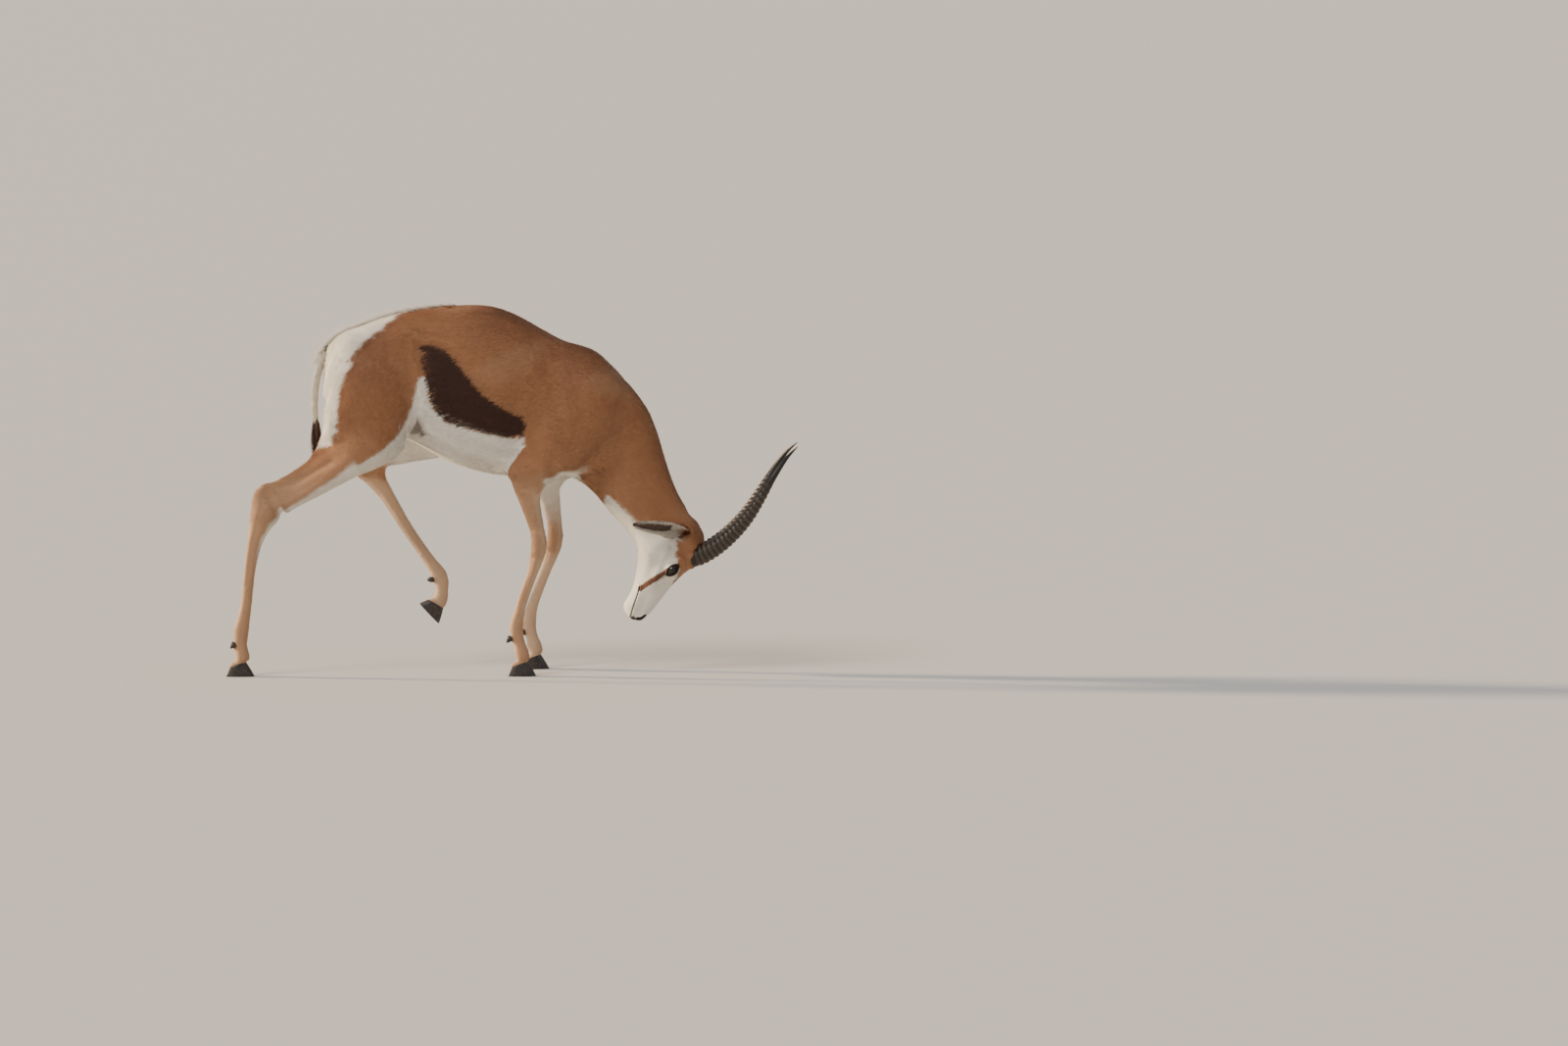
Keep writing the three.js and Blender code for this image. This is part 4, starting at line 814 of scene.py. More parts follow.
    # Head: white, with a brown forehead between the horns that narrows down the nose
    along, above, aside = head_frame(points)
    face = (names == "head").astype(float)
    white_face = smoothstep(5, -5, off_outline(FACE_WHITE, along, above) + wander * 1.6)
    lay(WHITE, white_face * on("head", "neck") * (x > 180))
    crown = face * smoothstep(6, -6, np.abs(aside) - np.interp(along, *CROWN_WIDTH) + wander) * (above > 12)
    lay(CINNAMON, crown * smoothstep(168, 140, along + wander * 2))
    lay(FACE_BROWN, 0.7 * crown * smoothstep(96, 126, along) * smoothstep(165, 145, along))
    stripe = off_line(EYE_STRIPE, along, above)
    lay(FACE_BROWN, face * smoothstep(7.0, 4.2, stripe + wander * 0.6) * (np.abs(aside) > 12))
    beside_eye = face * (np.abs(aside) > 20) * (np.hypot(along - EYE[0], above - EYE[1]) < 30)
    lay(NAKED, beside_eye * smoothstep(4.6, 2.8, lid_gap_at(along, above)[0] + wander * 0.1))
    lay(NAKED, face * smoothstep(246, 252, along + wander * 0.5) * smoothstep(-5.5, -3.5, above))
    lay(NAKED, face * 0.9 * smoothstep(1.9, 0.8, off_line(MOUTH, along, above)) * (along > 184))
    lay(NAKED, face * smoothstep(4.5, 2.5, off_nostril(along, above, aside)))
    # Ears: fawn behind, dark grey skin within, deepened as painted shade of the cup, between pale edges, and
    # a dark rim towards the tip
    for side in (-1, 1):
        rise, share, depth, within = ear_place(points, normals, side)
        mine = on("ear") | ((rise > 0.05) & (rise < 1.02) & (np.abs(share) < 1.3) & (np.abs(depth + 9) < 15)
                            & (np.abs(aside) > 44))
        mine = mine * (np.sign(y) == side) * (np.abs(share) < 1.35) * smoothstep(0.03, 0.13, rise)
        inside = mine * smoothstep(-0.1, 0.35, within)
        lay(FAWN, mine * 0.9)
        # Dark skin in the cup, made darker still as painted shade
        lay(EAR_SKIN_AND_SHADE, inside)
        lay(WHITE, 0.8 * inside * smoothstep(0.62, 0.84, np.abs(share)) * (rise < 0.8))
        lay(WHITE, 0.5 * inside * smoothstep(0.22, 0.06, rise))
        behind = mine * smoothstep(0.35, -0.1, within)
        lay(FACE_BROWN, 0.8 * behind * smoothstep(0.80, 0.95, rise + wander * 0.01))
    lay(WHITE, (names == "tail").astype(float))
    for x0, y0, z0, _ in DEWCLAWS:
        for side in (-1, 1):
            off_claw = np.array([x - x0, y - y0 - side * DEWCLAW_ASIDE, z - z0])
            lay(NAKED, smoothstep(8.5, 6.5, np.linalg.norm(off_claw, axis=0)))
    # The cleft between the claws
    lengths = np.array([line_length(line) for line in LINES.values()])
    lay(NAKED, on("pastern") * smoothstep(-0.004, 0.0, line_along - lengths[line_at]))
    return colour


# Lie of the hair. It follows the lines, droops down the sides and parts round the eyes, and is evened out
# over the hide.
def laid_flat(lie, normals):
    """Directions turned into the hide, of unit length."""
    lie = lie - normals * np.sum(lie * normals, 1)[:, None]
    return lie / np.maximum(np.linalg.norm(lie, axis=1), 1e-9)[:, None]


def lie_of(points, normals, edges):
    line_at, _, _, way = nearest_line(points)
    names = np.array(LINE_NAMES)[line_at]
    lie = way.copy()
    droop = np.where(names == "trunk", 0.55, np.where(names == "neck", 0.45, np.where(
        np.char.startswith(names, "thigh"), 0.1, 0.0)))
    lie[:, 2] -= droop * np.abs(normals[:, 1])
    swept_back = np.char.startswith(names, "thigh")
    swept_back |= np.char.startswith(names, "forearm") & (points[:, 2] > 0.46)
    lie[:, 0] -= 0.55 * swept_back
    lie = spread(lie, edges, 0.5, 150)
    for centre in EYE_CENTRES.values():
        out = points - centre
        reach = np.linalg.norm(out, axis=1)
        lie += out * (1.8 * np.exp(-(((reach * 1000 - 17) / 8) ** 2)) / np.maximum(reach, 1e-6))[:, None]
    return laid_flat(lie, normals)


points, normals, ends = points_of(hide_mesh), normals_of(hide_mesh), edges_of(hide_mesh)
hide_lie = lie_of(points, normals, ends)
colour_points(hide_mesh, "coat_colour", marked(points, normals))


def round_line(points, line_at=None):
    """Along and round the line that each point belongs to, in metres and in turns."""
    found, along, foot, way = nearest_line(points)
    if line_at is not None:
        for number in range(len(LINE_NAMES)):
            mine = (line_at == number) & (found != number)
            if mine.any():
                best = np.full(mine.sum(), 1e9)
                for gap, so_far, place, direction in stretches(points[mine], LINES[LINE_NAMES[number]]):
                    closer = gap < best
                    best[closer] = gap[closer]
                    where = np.flatnonzero(mine)[closer]
                    along[where] = so_far[closer]
                    foot[where] = place[closer]
                    way[where] = direction
    across = np.array([0.0, 1.0, 0.0]) - way * way[:, 1:2]
    across /= np.linalg.norm(across, axis=1)[:, None]
    upward = np.cross(way, across)
    out = points - foot
    return along, np.arctan2(np.sum(out * upward, 1), np.sum(out * across, 1)) / (2 * math.pi)


corner_vertex = np.empty(len(hide_mesh.loops), int)
hide_mesh.loops.foreach_get("vertex_index", corner_vertex)
corner_count = np.empty(len(hide_mesh.polygons), int)
hide_mesh.polygons.foreach_get("loop_total", corner_count)
face_start = np.concatenate([[0], np.cumsum(corner_count)[:-1]])
corner_face = np.repeat(np.arange(len(corner_count)), corner_count)
corner_line = nearest_line(points)[0][corner_vertex[face_start]][corner_face]
streak_along, streak_turn = round_line(points[corner_vertex], corner_line)
first_turn = streak_turn[face_start][corner_face]
streak_turn += np.round(first_turn - streak_turn)
streaks = hide_mesh.uv_layers.new(name="streaks")
streaks.data.foreach_set("uv", np.column_stack(
    [streak_along, streak_turn * 2 * math.pi * of_line("thick", corner_line) / 1000]).ravel())


# The hair's own grain, on hide and coat: slow changes of tone from patch to patch, and a fine fleck. The
# bare hide has fine streaks along the lie too, as hair too short to see.
def group_of(kind, name, inputs, outputs):
    """A new node group, and the nodes that stand for its inputs and outputs."""
    tree = bpy.data.node_groups.new(name, kind)
    for label, holds, value in inputs:
        socket = tree.interface.new_socket(label, in_out="INPUT", socket_type=f"NodeSocket{holds}")
        if value is not None:
            socket.default_value = value
    for label, holds in outputs:
        tree.interface.new_socket(label, in_out="OUTPUT", socket_type=f"NodeSocket{holds}")
    return tree, tree.nodes.new("NodeGroupInput"), tree.nodes.new("NodeGroupOutput")


def node(tree, kind, operation=None, **values):
    made = tree.nodes.new(kind)
    if operation:
        made.operation = operation
    fill(made, **values)
    return made


def maths(tree, operation, *values):
    named = {f"_{at}": value for at, value in enumerate(values)}
    return node(tree, "ShaderNodeMath", operation, **named).outputs[0]


def noise(tree, place, scale, detail, **more):
    return node(tree, "ShaderNodeTexNoise", Vector=place, Scale=scale, Detail=detail, **more).outputs["Fac"]


def bump(tree, height, strength, distance):
    return node(tree, "ShaderNodeBump", Height=height, Strength=strength, Distance=distance).outputs["Normal"]


def own_place(tree):
    return node(tree, "ShaderNodeTexCoord").outputs["Object"]


def attribute(tree, name):
    made = node(tree, "ShaderNodeAttribute")
    made.attribute_name = name
    return made


def off_middle(tree, shade, amount):
    """How far a noise is from its middle, times an amount."""
    return maths(tree, "MULTIPLY", maths(tree, "SUBTRACT", shade, 0.5), amount)


hair_tone, tone_in, tone_out = group_of(
    "ShaderNodeTree", "hair_tone", [("Colour", "Color", None), ("Place", "Vector", None),
                                    ("Patches", "Float", 0.16), ("Fleck", "Float", 0.12)],
    [("Colour", "Color")])
patches = off_middle(hair_tone, noise(hair_tone, tone_in.outputs["Place"], 14, 4), tone_in.outputs["Patches"])
fleck = off_middle(hair_tone, noise(hair_tone, tone_in.outputs["Place"], 420, 2), tone_in.outputs["Fleck"])
gain = maths(hair_tone, "MULTIPLY_ADD", maths(hair_tone, "ADD", patches, fleck), 2.0, 1.0)
toned = node(hair_tone, "ShaderNodeVectorMath", "SCALE", _0=tone_in.outputs["Colour"], Scale=gain)
fill(tone_out, Colour=toned.outputs[0])


def hair_paint(name, streaked):
    """A paint that takes its colour from the mesh's points and gives it the hair's grain."""
    material, tree, shader = new_paint(
        name, Roughness=0.62, Specular_IOR_Level=0.22, Sheen_Weight=0.05, Sheen_Roughness=0.45)
    tone = node(tree, "ShaderNodeGroup")
    tone.node_tree = hair_tone
    fill(tone, Colour=attribute(tree, "coat_colour").outputs["Color"], Place=own_place(tree),
         Patches=0.16, Fleck=0.10)
    fill(shader, Base_Color=tone.outputs["Colour"])
    if streaked:
        uv = node(tree, "ShaderNodeUVMap")
        uv.uv_map = "streaks"
        drawn = node(tree, "ShaderNodeMapping", Vector=uv.outputs["UV"], Scale=(90, 900, 1))
        grain = noise(tree, drawn.outputs["Vector"], 1.0, 3.0)
        fill(shader, Normal=bump(tree, grain, 0.4, 0.0008))
    return material


hide_paint = hair_paint("hide_paint", streaked=True)
hide_mesh.materials.clear()
hide_mesh.materials.append(hide_paint)
shade_smooth(hide_mesh)
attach(hide, "root")
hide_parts(*FLESH, "ear_right", "ear_left", "tail")

# Eyes. A large dark ball with a clear bulging front: brown iris, wide level pupil, wet all over. It sits
# behind the lids, and its colours are laid on its own points.
eye_paint, eye_tree, eye_shader = new_paint(
    "eye_paint", Roughness=0.3, Specular_IOR_Level=0.2, Coat_Weight=1.0, Coat_Roughness=0.03, Coat_IOR=1.38)
fibres = noise(eye_tree, own_place(eye_tree), 260.0, 3.0)
eye_colour = node(eye_tree, "ShaderNodeVectorMath", "SCALE", _0=attribute(eye_tree, "iris").outputs["Color"],
                  Scale=maths(eye_tree, "MULTIPLY_ADD", fibres, 1.2, 0.4))
fill(eye_shader, Base_Color=eye_colour.outputs[0])
for side, label in ((-1, "right"), (1, "left")):
    globe = bmesh.new()
    bmesh.ops.create_uvsphere(globe, u_segments=64, v_segments=40, radius=1.0)
    mesh = bpy.data.meshes.new(f"eye_{label}_ball")
    globe.to_mesh(mesh)
    globe.free()
    ball = points_of(mesh)
    look = np.array([0.10, side * 0.99, -0.06])
    look /= np.linalg.norm(look)
    level = np.array([-FACE_COS, 0, -FACE_SIN])
    level -= look * (level @ look)
    level /= np.linalg.norm(level)
    upright = np.cross(look, level)
    flat, high, front = ball @ level, ball @ upright, ball @ look
    away = np.hypot(flat, high)
    bulge = 0.055 * np.exp(-((away / 0.42) ** 4)) * (front > 0)
    place_points(mesh, EYE_CENTRES[side] + ball * ((EYE_RADIUS - 0.35) / 1000 * (1 + bulge))[:, None])
    in_iris = smoothstep(0.60, 0.54, away) * (front > 0)
    in_pupil = smoothstep(1.05, 0.92, np.hypot(flat / 0.36, high / 0.20)) * (front > 0)
    shade = np.outer(1 - in_iris, (0.020, 0.012, 0.009)) + np.outer(in_iris, (0.024, 0.010, 0.005))
    shade = shade * (1 - in_pupil)[:, None] + np.outer(in_pupil, (0.002, 0.002, 0.002))
    colour_points(mesh, "iris", shade)
    mesh.materials.append(eye_paint)
    shade_smooth(mesh)
    eye = new_piece(f"eye_{label}_ball", mesh)
    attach(eye, "root")
    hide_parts(f"eye_{label}")

# Horns. Black keratin sheaths, ringed for two thirds of their length and smooth at the hooked tips,
# swept along the same lyre curve as the solids.
HORN_LINE = [(352, 18, 246), (384, 25, 258), (420, 38, 279), (457, 58, 310), (492, 82, 350), (522, 101, 397),
             (550, 109, 443), (577, 96, 480), (600, 72, 502)]
HORN_RADIUS = 0.0215
HORN_RINGS = 20
RING_HEIGHT = 0.0026

horn_sweep, sweep_in, sweep_out = group_of(
    "GeometryNodeTree", "horn_sweep", [
        ("Line", "Geometry", None), ("Radius", "Float", HORN_RADIUS), ("Rings", "Float", HORN_RINGS),
        ("Ring height", "Float", RING_HEIGHT), ("Ringed from", "Float", 0.07), ("Ringed to", "Float", 0.72),
        ("Material", "Material", None)], [("Horn", "Geometry")])
given = sweep_in.outputs
samples = node(horn_sweep, "GeometryNodeResampleCurve", Curve=given["Line"], Count=320)
share = node(horn_sweep, "GeometryNodeSplineParameter").outputs["Factor"]
taper = node(horn_sweep, "ShaderNodeFloatCurve", Value=share)
curve = taper.mapping.curves[0]
curve.points[0].location = (0, 1)
curve.points[1].location = (1, 0.05)
for at, width in ((0.1, 1.0), (0.25, 0.9), (0.5, 0.68), (0.7, 0.48), (0.85, 0.3), (0.95, 0.15)):
    curve.points.new(at, width)
taper.mapping.update()
tapered = taper.outputs["Value"]
ringed = node(horn_sweep, "ShaderNodeMapRange", Value=share, From_Min=given["Ringed from"],
              From_Max=given["Ringed to"], To_Max=given["Rings"])
ringed.clamp = False


def fade(first, last, before, after):
    """Goes smoothly from one value to the other between two places along the horn."""
    made = node(horn_sweep, "ShaderNodeMapRange", Value=share, From_Min=first, From_Max=last,
                To_Min=before, To_Max=after)
    made.interpolation_type = "SMOOTHSTEP"
    return made.outputs[0]


turn = maths(horn_sweep, "MULTIPLY", ringed.outputs[0], 2 * math.pi)
wave = maths(horn_sweep, "MULTIPLY_ADD", maths(horn_sweep, "COSINE", turn), -0.5, 0.5)
ridge = maths(horn_sweep, "MULTIPLY", maths(horn_sweep, "POWER", wave, 0.75), fade(0.62, 0.76, 1.0, 0.0))
ridge = maths(horn_sweep, "MULTIPLY", ridge, fade(0.05, 0.10, 0.0, 1.0))
thickness = maths(horn_sweep, "MULTIPLY", tapered, given["Radius"])
ring_size = maths(horn_sweep, "MULTIPLY", given["Ring height"], maths(horn_sweep, "POWER", tapered, 0.6))
radius = maths(horn_sweep, "ADD", maths(horn_sweep, "SUBTRACT", thickness, ring_size),
               maths(horn_sweep, "MULTIPLY", ridge, ring_size))
sized = node(horn_sweep, "GeometryNodeSetCurveRadius", Curve=samples.outputs["Curve"], Radius=radius)
kept = node(horn_sweep, "GeometryNodeStoreNamedAttribute", Geometry=sized.outputs["Curve"], Name="crest",
            Value=ridge)
section = node(horn_sweep, "GeometryNodeCurvePrimitiveCircle", Resolution=40, Radius=1.0)
swept = node(horn_sweep, "GeometryNodeCurveToMesh", Curve=kept.outputs["Geometry"],
             Profile_Curve=section.outputs["Curve"], Fill_Caps=True)
if "Scale" in swept.inputs:
    fill(swept, Scale=radius)
painted = node(horn_sweep, "GeometryNodeSetMaterial", Geometry=swept.outputs["Mesh"],
               Material=given["Material"])
realized = node(horn_sweep, "GeometryNodeRealizeInstances", Geometry=painted.outputs["Geometry"])
fill(sweep_out, Horn=realized.outputs["Geometry"])


def ramp(tree, share, *stops):
    """The colour at a share between two stops, each a place and a colour."""
    made = node(tree, "ShaderNodeValToRGB", Fac=share)
    for element, (place, colour) in zip(made.color_ramp.elements, stops):
        element.position = place
        element.color = (*colour, 1)
    return made.outputs["Color"]


horn_paint, horn_tree, horn_shader = new_paint("horn_paint", Specular_IOR_Level=0.45)
horn_noise = noise(horn_tree, own_place(horn_tree), 70.0, 6.0, Roughness=0.65)
wear = maths(horn_tree, "MULTIPLY", attribute(horn_tree, "crest").outputs["Fac"], horn_noise)
fill(horn_shader, Base_Color=ramp(horn_tree, wear, (0, (0.012, 0.009, 0.007)), (0.75, (0.085, 0.058, 0.038))),
     Roughness=maths(horn_tree, "MULTIPLY_ADD", horn_noise, 0.35, 0.26),
     Normal=bump(horn_tree, horn_noise, 0.35, 0.0008))

for side, label in ((-1, "right"), (1, "left")):
    line = metres(bent([(x, side * y, z) for x, y, z in HORN_LINE], 120))
    data = bpy.data.curves.new(f"horn_{label}_line", "CURVE")
    data.dimensions = "3D"
    spline = data.splines.new("POLY")
    spline.points.add(len(line) - 1)
    spline.points.foreach_set("co", np.column_stack([line, np.ones(len(line))]).ravel())
    route = bpy.data.objects.new(f"horn_{label}_line", data)
    scene.collection.objects.link(route)
    maker = route.modifiers.new("sweep", "NODES")
    maker.node_group = horn_sweep
    for item in horn_sweep.interface.items_tree:
        if item.name == "Material" and item.in_out == "INPUT":
            maker[item.identifier] = horn_paint
    shown = bpy.data.meshes.new_from_object(route.evaluated_get(bpy.context.evaluated_depsgraph_get()))
    bpy.data.objects.remove(route)
    shell = bmesh.new()
    shell.from_mesh(shown)
    bmesh.ops.remove_doubles(shell, verts=shell.verts, dist=1e-6)
    bmesh.ops.recalc_face_normals(shell, faces=shell.faces)
    shell.to_mesh(shown)
    shell.free()
    shade_smooth(shown)
    horn = new_piece(f"horn_{label}_sheath", shown)
    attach(horn, "root")
    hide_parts(f"horn_{label}")

# Hooves. Two black claws of horn a foot, drawn from the solids and rounded as wear rounds them, with the
# faint rings of their growth.
HOOF_GRAIN = 0.0013
hoof_paint, hoof_tree, hoof_shader = new_paint("hoof_paint", Roughness=0.42)
hoof_place = own_place(hoof_tree)
hoof_rings = node(hoof_tree, "ShaderNodeTexWave", Vector=hoof_place, Scale=55.0, Distortion=2.5, Detail=2.0)
hoof_rings.bands_direction = "Z"
fill(hoof_shader, Base_Color=ramp(hoof_tree, noise(hoof_tree, hoof_place, 120.0, 5.0),
                                  (0.3, (0.012, 0.010, 0.009)), (0.8, (0.060, 0.048, 0.038))),
     Normal=bump(hoof_tree, hoof_rings.outputs["Fac"], 0.3, 0.0006))
for limb in FEET:
    pair = [f"{limb}_claw_right", f"{limb}_claw_left"]
    rough = bmesh.new()
    for claw in pair:
        rough.from_mesh(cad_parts[claw].data)
    bmesh.ops.remove_doubles(rough, verts=rough.verts, dist=1e-6)
    mesh = bpy.data.meshes.new(f"{limb}_hoof")
    rough.to_mesh(mesh)
    rough.free()
    hoof = new_piece(f"{limb}_hoof", mesh)
    add_modifier(hoof, "REMESH", mode="VOXEL", voxel_size=HOOF_GRAIN)
    mesh = finished_mesh(hoof)
    mesh.materials.clear()
    mesh.materials.append(hoof_paint)
    low = points_of(mesh)[:, 2].min()
    points = spread(points_of(mesh), edges_of(mesh), 0.5, 8)
    points[:, 2] = np.maximum(points[:, 2], low)
    place_points(mesh, points)
    shade_smooth(mesh)
    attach(hoof, "root")
    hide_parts(*pair)

# Dewclaws. Two small claws of the same dark horn behind each fetlock, flattened, worn to a blunt point and
# let into bare skin.
shell = bmesh.new()
for x, y, z, pitch in DEWCLAWS:
    for side in (-1, 1):
        rings = []
        for share in np.linspace(0.04, 0.97, 12):
            radius = 5.6 * math.sin(math.pi * share**0.62) ** 0.7
            turns = np.linspace(0, 2 * math.pi, 16, endpoint=False)
            rings.append(np.column_stack([radius * np.cos(turns) * 1.12 - 2 * share**2,
                                          radius * np.sin(turns) * 0.9, np.full(16, 8.6 - 17.4 * share)]))
        claw = leaf([ring / 1000 for ring in rings], [(0, 0, 0.0088), (-0.002, 0, -0.009)])
        claw.transform(Matrix.Translation(Vector(metres((x - 0.5, y + side * 8.6, z))))
                       @ Matrix.Rotation(math.radians(pitch), 4, "Y"))
        shell.from_mesh(claw)
claws = bpy.data.meshes.new("dewclaws")
shell.to_mesh(claws)
shell.free()
claws.materials.append(hoof_paint)
shade_smooth(claws)
dewclaws = new_piece("dewclaws", claws)
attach(dewclaws, "root")

# Coat. Short flat hair over the whole hide: each tuft is a thin tapered lock that lies along the body, its
# root in the hide and its tip a little out from it, smallest on the face and the feet.
hide_mesh.calc_loop_triangles()
triangles = np.empty(len(hide_mesh.loop_triangles) * 3, int)
hide_mesh.loop_triangles.foreach_get("vertices", triangles)
triangles = triangles.reshape(-1, 3)
hide_points, hide_normals = points_of(hide_mesh), normals_of(hide_mesh)
hide_line = nearest_line(hide_points)[0]
span = np.cross(hide_points[triangles[:, 1]] - hide_points[triangles[:, 0]],
                hide_points[triangles[:, 2]] - hide_points[triangles[:, 0]])
triangle_area = np.linalg.norm(span, axis=1) / 2
draw = np.random.default_rng(20)

# Each line's stretch of hide has a rectangle of its own in the coat's UV map
CHART_SCALE = 0.56
CHART_GAP = 0.008
chart_at = {}
shelf_x, shelf_y, shelf_high = 0.01, 0.01, 0.0
for name, line in sorted(LINES.items(), key=lambda item: -item[1]["thick"]):
    wide = line_length(line) * CHART_SCALE + CHART_GAP
    high = 2 * math.pi * line["thick"] / 1000 * CHART_SCALE + CHART_GAP
    if shelf_x + wide > 0.99:
        shelf_x, shelf_y, shelf_high = 0.01, shelf_y + shelf_high, 0.0
    chart_at[name] = (shelf_x, shelf_y, high - CHART_GAP)
    shelf_x += wide
    shelf_high = max(shelf_high, high)


def chart_places(points):
    line_at = nearest_line(points)[0]
    along, turn = round_line(points)
    corner = np.array([chart_at[name] for name in LINE_NAMES])[line_at]
    return np.column_stack([corner[:, 0] + along * CHART_SCALE, corner[:, 1] + (turn + 0.5) * corner[:, 2]])


def toward_muzzle(points):
    """Rises evenly from the neck over the cheeks and forehead to the muzzle."""
    along, above, _ = head_frame(points)
    return along + 0.8 * above


def scatter(chosen, density):
    """Roots spread over the chosen triangles, so many to a square millimetre."""
    expected = np.where(chosen, triangle_area * 1e6 * density, 0)
    count = np.floor(expected + draw.random(len(expected))).astype(int)
    triangle = np.repeat(np.arange(len(count)), count)
    u, v = draw.random((2, len(triangle)))
    over = u + v > 1
    u[over], v[over] = 1 - u[over], 1 - v[over]
    weights = np.column_stack([1 - u - v, u, v])

    def mixed(values):
        return np.einsum("nk,nkd->nd", weights, values[triangles[triangle]])

    roots, normals, lie = mixed(hide_points), mixed(hide_normals), mixed(hide_lie)
    normals /= np.linalg.norm(normals, axis=1)[:, None]
    return roots, normals, laid_flat(lie, normals)


def lay_tufts(name, roots, normals, lie, length, width, lift, colour, material, bow=0.0, parts=1, flat=False):
    """Joins tapered three-sided locks into one piece; more parts bend, and flat ones shade as the hide."""
    count = len(roots)
    across = np.cross(normals, lie)
    lift, length, width = (np.broadcast_to(value, count) for value in (lift, length, width))
    bow = np.broadcast_to(bow, count)
    rows = []
    place = roots - normals * 0.0003
    for part in range(parts):
        share = part / parts
        angle = lift - bow * share
        wide = width * (1 - share**1.6) * (1 if part else 0.85) / 2
        rows += [place + across * wide[:, None], place - across * wide[:, None],
                 place + normals * (wide * 0.42)[:, None]]
        ahead = lie * np.cos(angle)[:, None] + normals * np.sin(angle)[:, None]
        place = place + ahead * (length / parts)[:, None]
    rows.append(place)
    per = parts * 3 + 1
    points = np.stack(rows, 1).reshape(-1, 3)
    faces = [(0, 1, 2)]
    for part in range(parts - 1):
        low = part * 3
        for a, b in ((0, 2), (2, 1), (1, 0)):
            faces += [(low + a, low + b, low + 3 + b), (low + a, low + 3 + b, low + 3 + a)]
    low = (parts - 1) * 3
    faces += [(low + 0, low + 2, per - 1), (low + 2, low + 1, per - 1), (low + 1, low + 0, per - 1)]
    faces = (np.array(faces)[None] + (np.arange(count) * per)[:, None, None]).reshape(-1, 3)
    mesh = bpy.data.meshes.new(name)
    mesh.vertices.add(len(points))
    mesh.vertices.foreach_set("co", points.ravel())
    mesh.loops.add(faces.size)
    mesh.loops.foreach_set("vertex_index", faces.ravel())
    mesh.polygons.add(len(faces))
    mesh.polygons.foreach_set("loop_start", np.arange(0, faces.size, 3))
    mesh.update(calc_edges=True)
    tip_light = np.repeat(np.linspace(0.92, 1.06, parts + 1), [3] * parts + [1])[None, :, None]
    tone = colour[:, None, :] * draw.normal(1.0, 0.055, (count, 1, 1)).clip(0.8, 1.2) * tip_light
    colour_points(mesh, "coat_colour", tone.reshape(-1, 3))
    patch = [(-0.0013, 0), (0.0013, 0), (0, 0.0003)]
    offsets = [(x * (1 - part / parts), y + 0.0028 * part / parts) for part in range(parts) for x, y in patch]
    offsets = np.array(offsets + [(0, 0.0028)])
    uv = chart_places(roots)[:, None, :] + offsets[None]
    baked = mesh.uv_layers.new(name="OFBake")
    baked.data.foreach_set("uv", uv.reshape(-1, 2)[faces.ravel()].ravel())
    mesh.materials.append(material)
    shade_smooth(mesh)
    if flat:
        facing = np.repeat(normals[:, None, :], per, axis=1)
        facing[:, 0:-1:3] += across[:, None, :] * 0.3
        facing[:, 1:-1:3] -= across[:, None, :] * 0.3
        facing[:, -1] += lie * 0.25
        mesh.normals_split_custom_set_from_vertices(facing.reshape(-1, 3))
    piece = new_piece(name, mesh)
    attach(piece, "root")
    return piece


coat_paint = hair_paint("coat_paint", streaked=False)
triangle_line = np.array(LINE_NAMES)[hide_line[triangles[:, 0]]]
middle = hide_points[triangles].mean(1)
mid_along, mid_above, mid_aside = head_frame(middle)
to_eye = off_eyes(middle)
bare = (triangle_line == "head") & (
    (mid_along > 250) | (to_eye < 0.0198) | (off_line(MOUTH, mid_along, mid_above) < 1.6)
    | (off_nostril(mid_along, mid_above, mid_aside) < 4.5))
for x, y, z, _ in DEWCLAWS:
    for side in (-1, 1):
        bare |= np.linalg.norm(middle - metres((x, y + side * DEWCLAW_ASIDE, z)), axis=1) < 0.0085
for limb in FEET:
    hoof_mesh = bpy.data.objects[f"{limb}_hoof"].data
    wall = BVHTree.FromPolygons([corner.co for corner in hoof_mesh.vertices],
                                [face.vertices for face in hoof_mesh.polygons])
    near = np.flatnonzero(np.linalg.norm(middle - metres(FEET[limb][:3]), axis=1) < 0.05)
    for at in near:
        spot, facing, _, _ = wall.find_nearest(Vector(middle[at]))
        bare[at] = (Vector(middle[at]) - spot).dot(facing) < 0

BACK_FROM = 0.66


def anywhere(spots):
    return spots[:, 2] > 0


# Each piece of the coat: its lines, the part of them it covers, and how many tufts to a square millimetre
COAT_REGIONS = {
    "coat_back": (["trunk"], lambda p: p[:, 2] >= BACK_FROM, 0.27),
    "coat_flank_right": (["trunk"], lambda p: (p[:, 2] < BACK_FROM) & (p[:, 1] < 0), 0.27),
    "coat_flank_left": (["trunk"], lambda p: (p[:, 2] < BACK_FROM) & (p[:, 1] >= 0), 0.28),
    "coat_neck": (["neck"], anywhere, 0.28),
    "coat_thighs": (["thigh_right", "thigh_left"], anywhere, 0.30),
    "coat_hind_legs": (["gaskin_right", "gaskin_left", "cannon_right", "cannon_left", "pastern_hind_right",
                        "pastern_hind_left"], anywhere, 0.31),
    "coat_fore_legs": (["forearm_right", "forearm_left", "shin_right", "shin_left", "pastern_fore_right",
                        "pastern_fore_left"], anywhere, 0.36),
    "coat_head": (["head"], anywhere, 0.95),
    "coat_ears": (["ear_right", "ear_left"], anywhere, 0.8),
    "coat_tail": (["tail"], anywhere, 0.6),
}
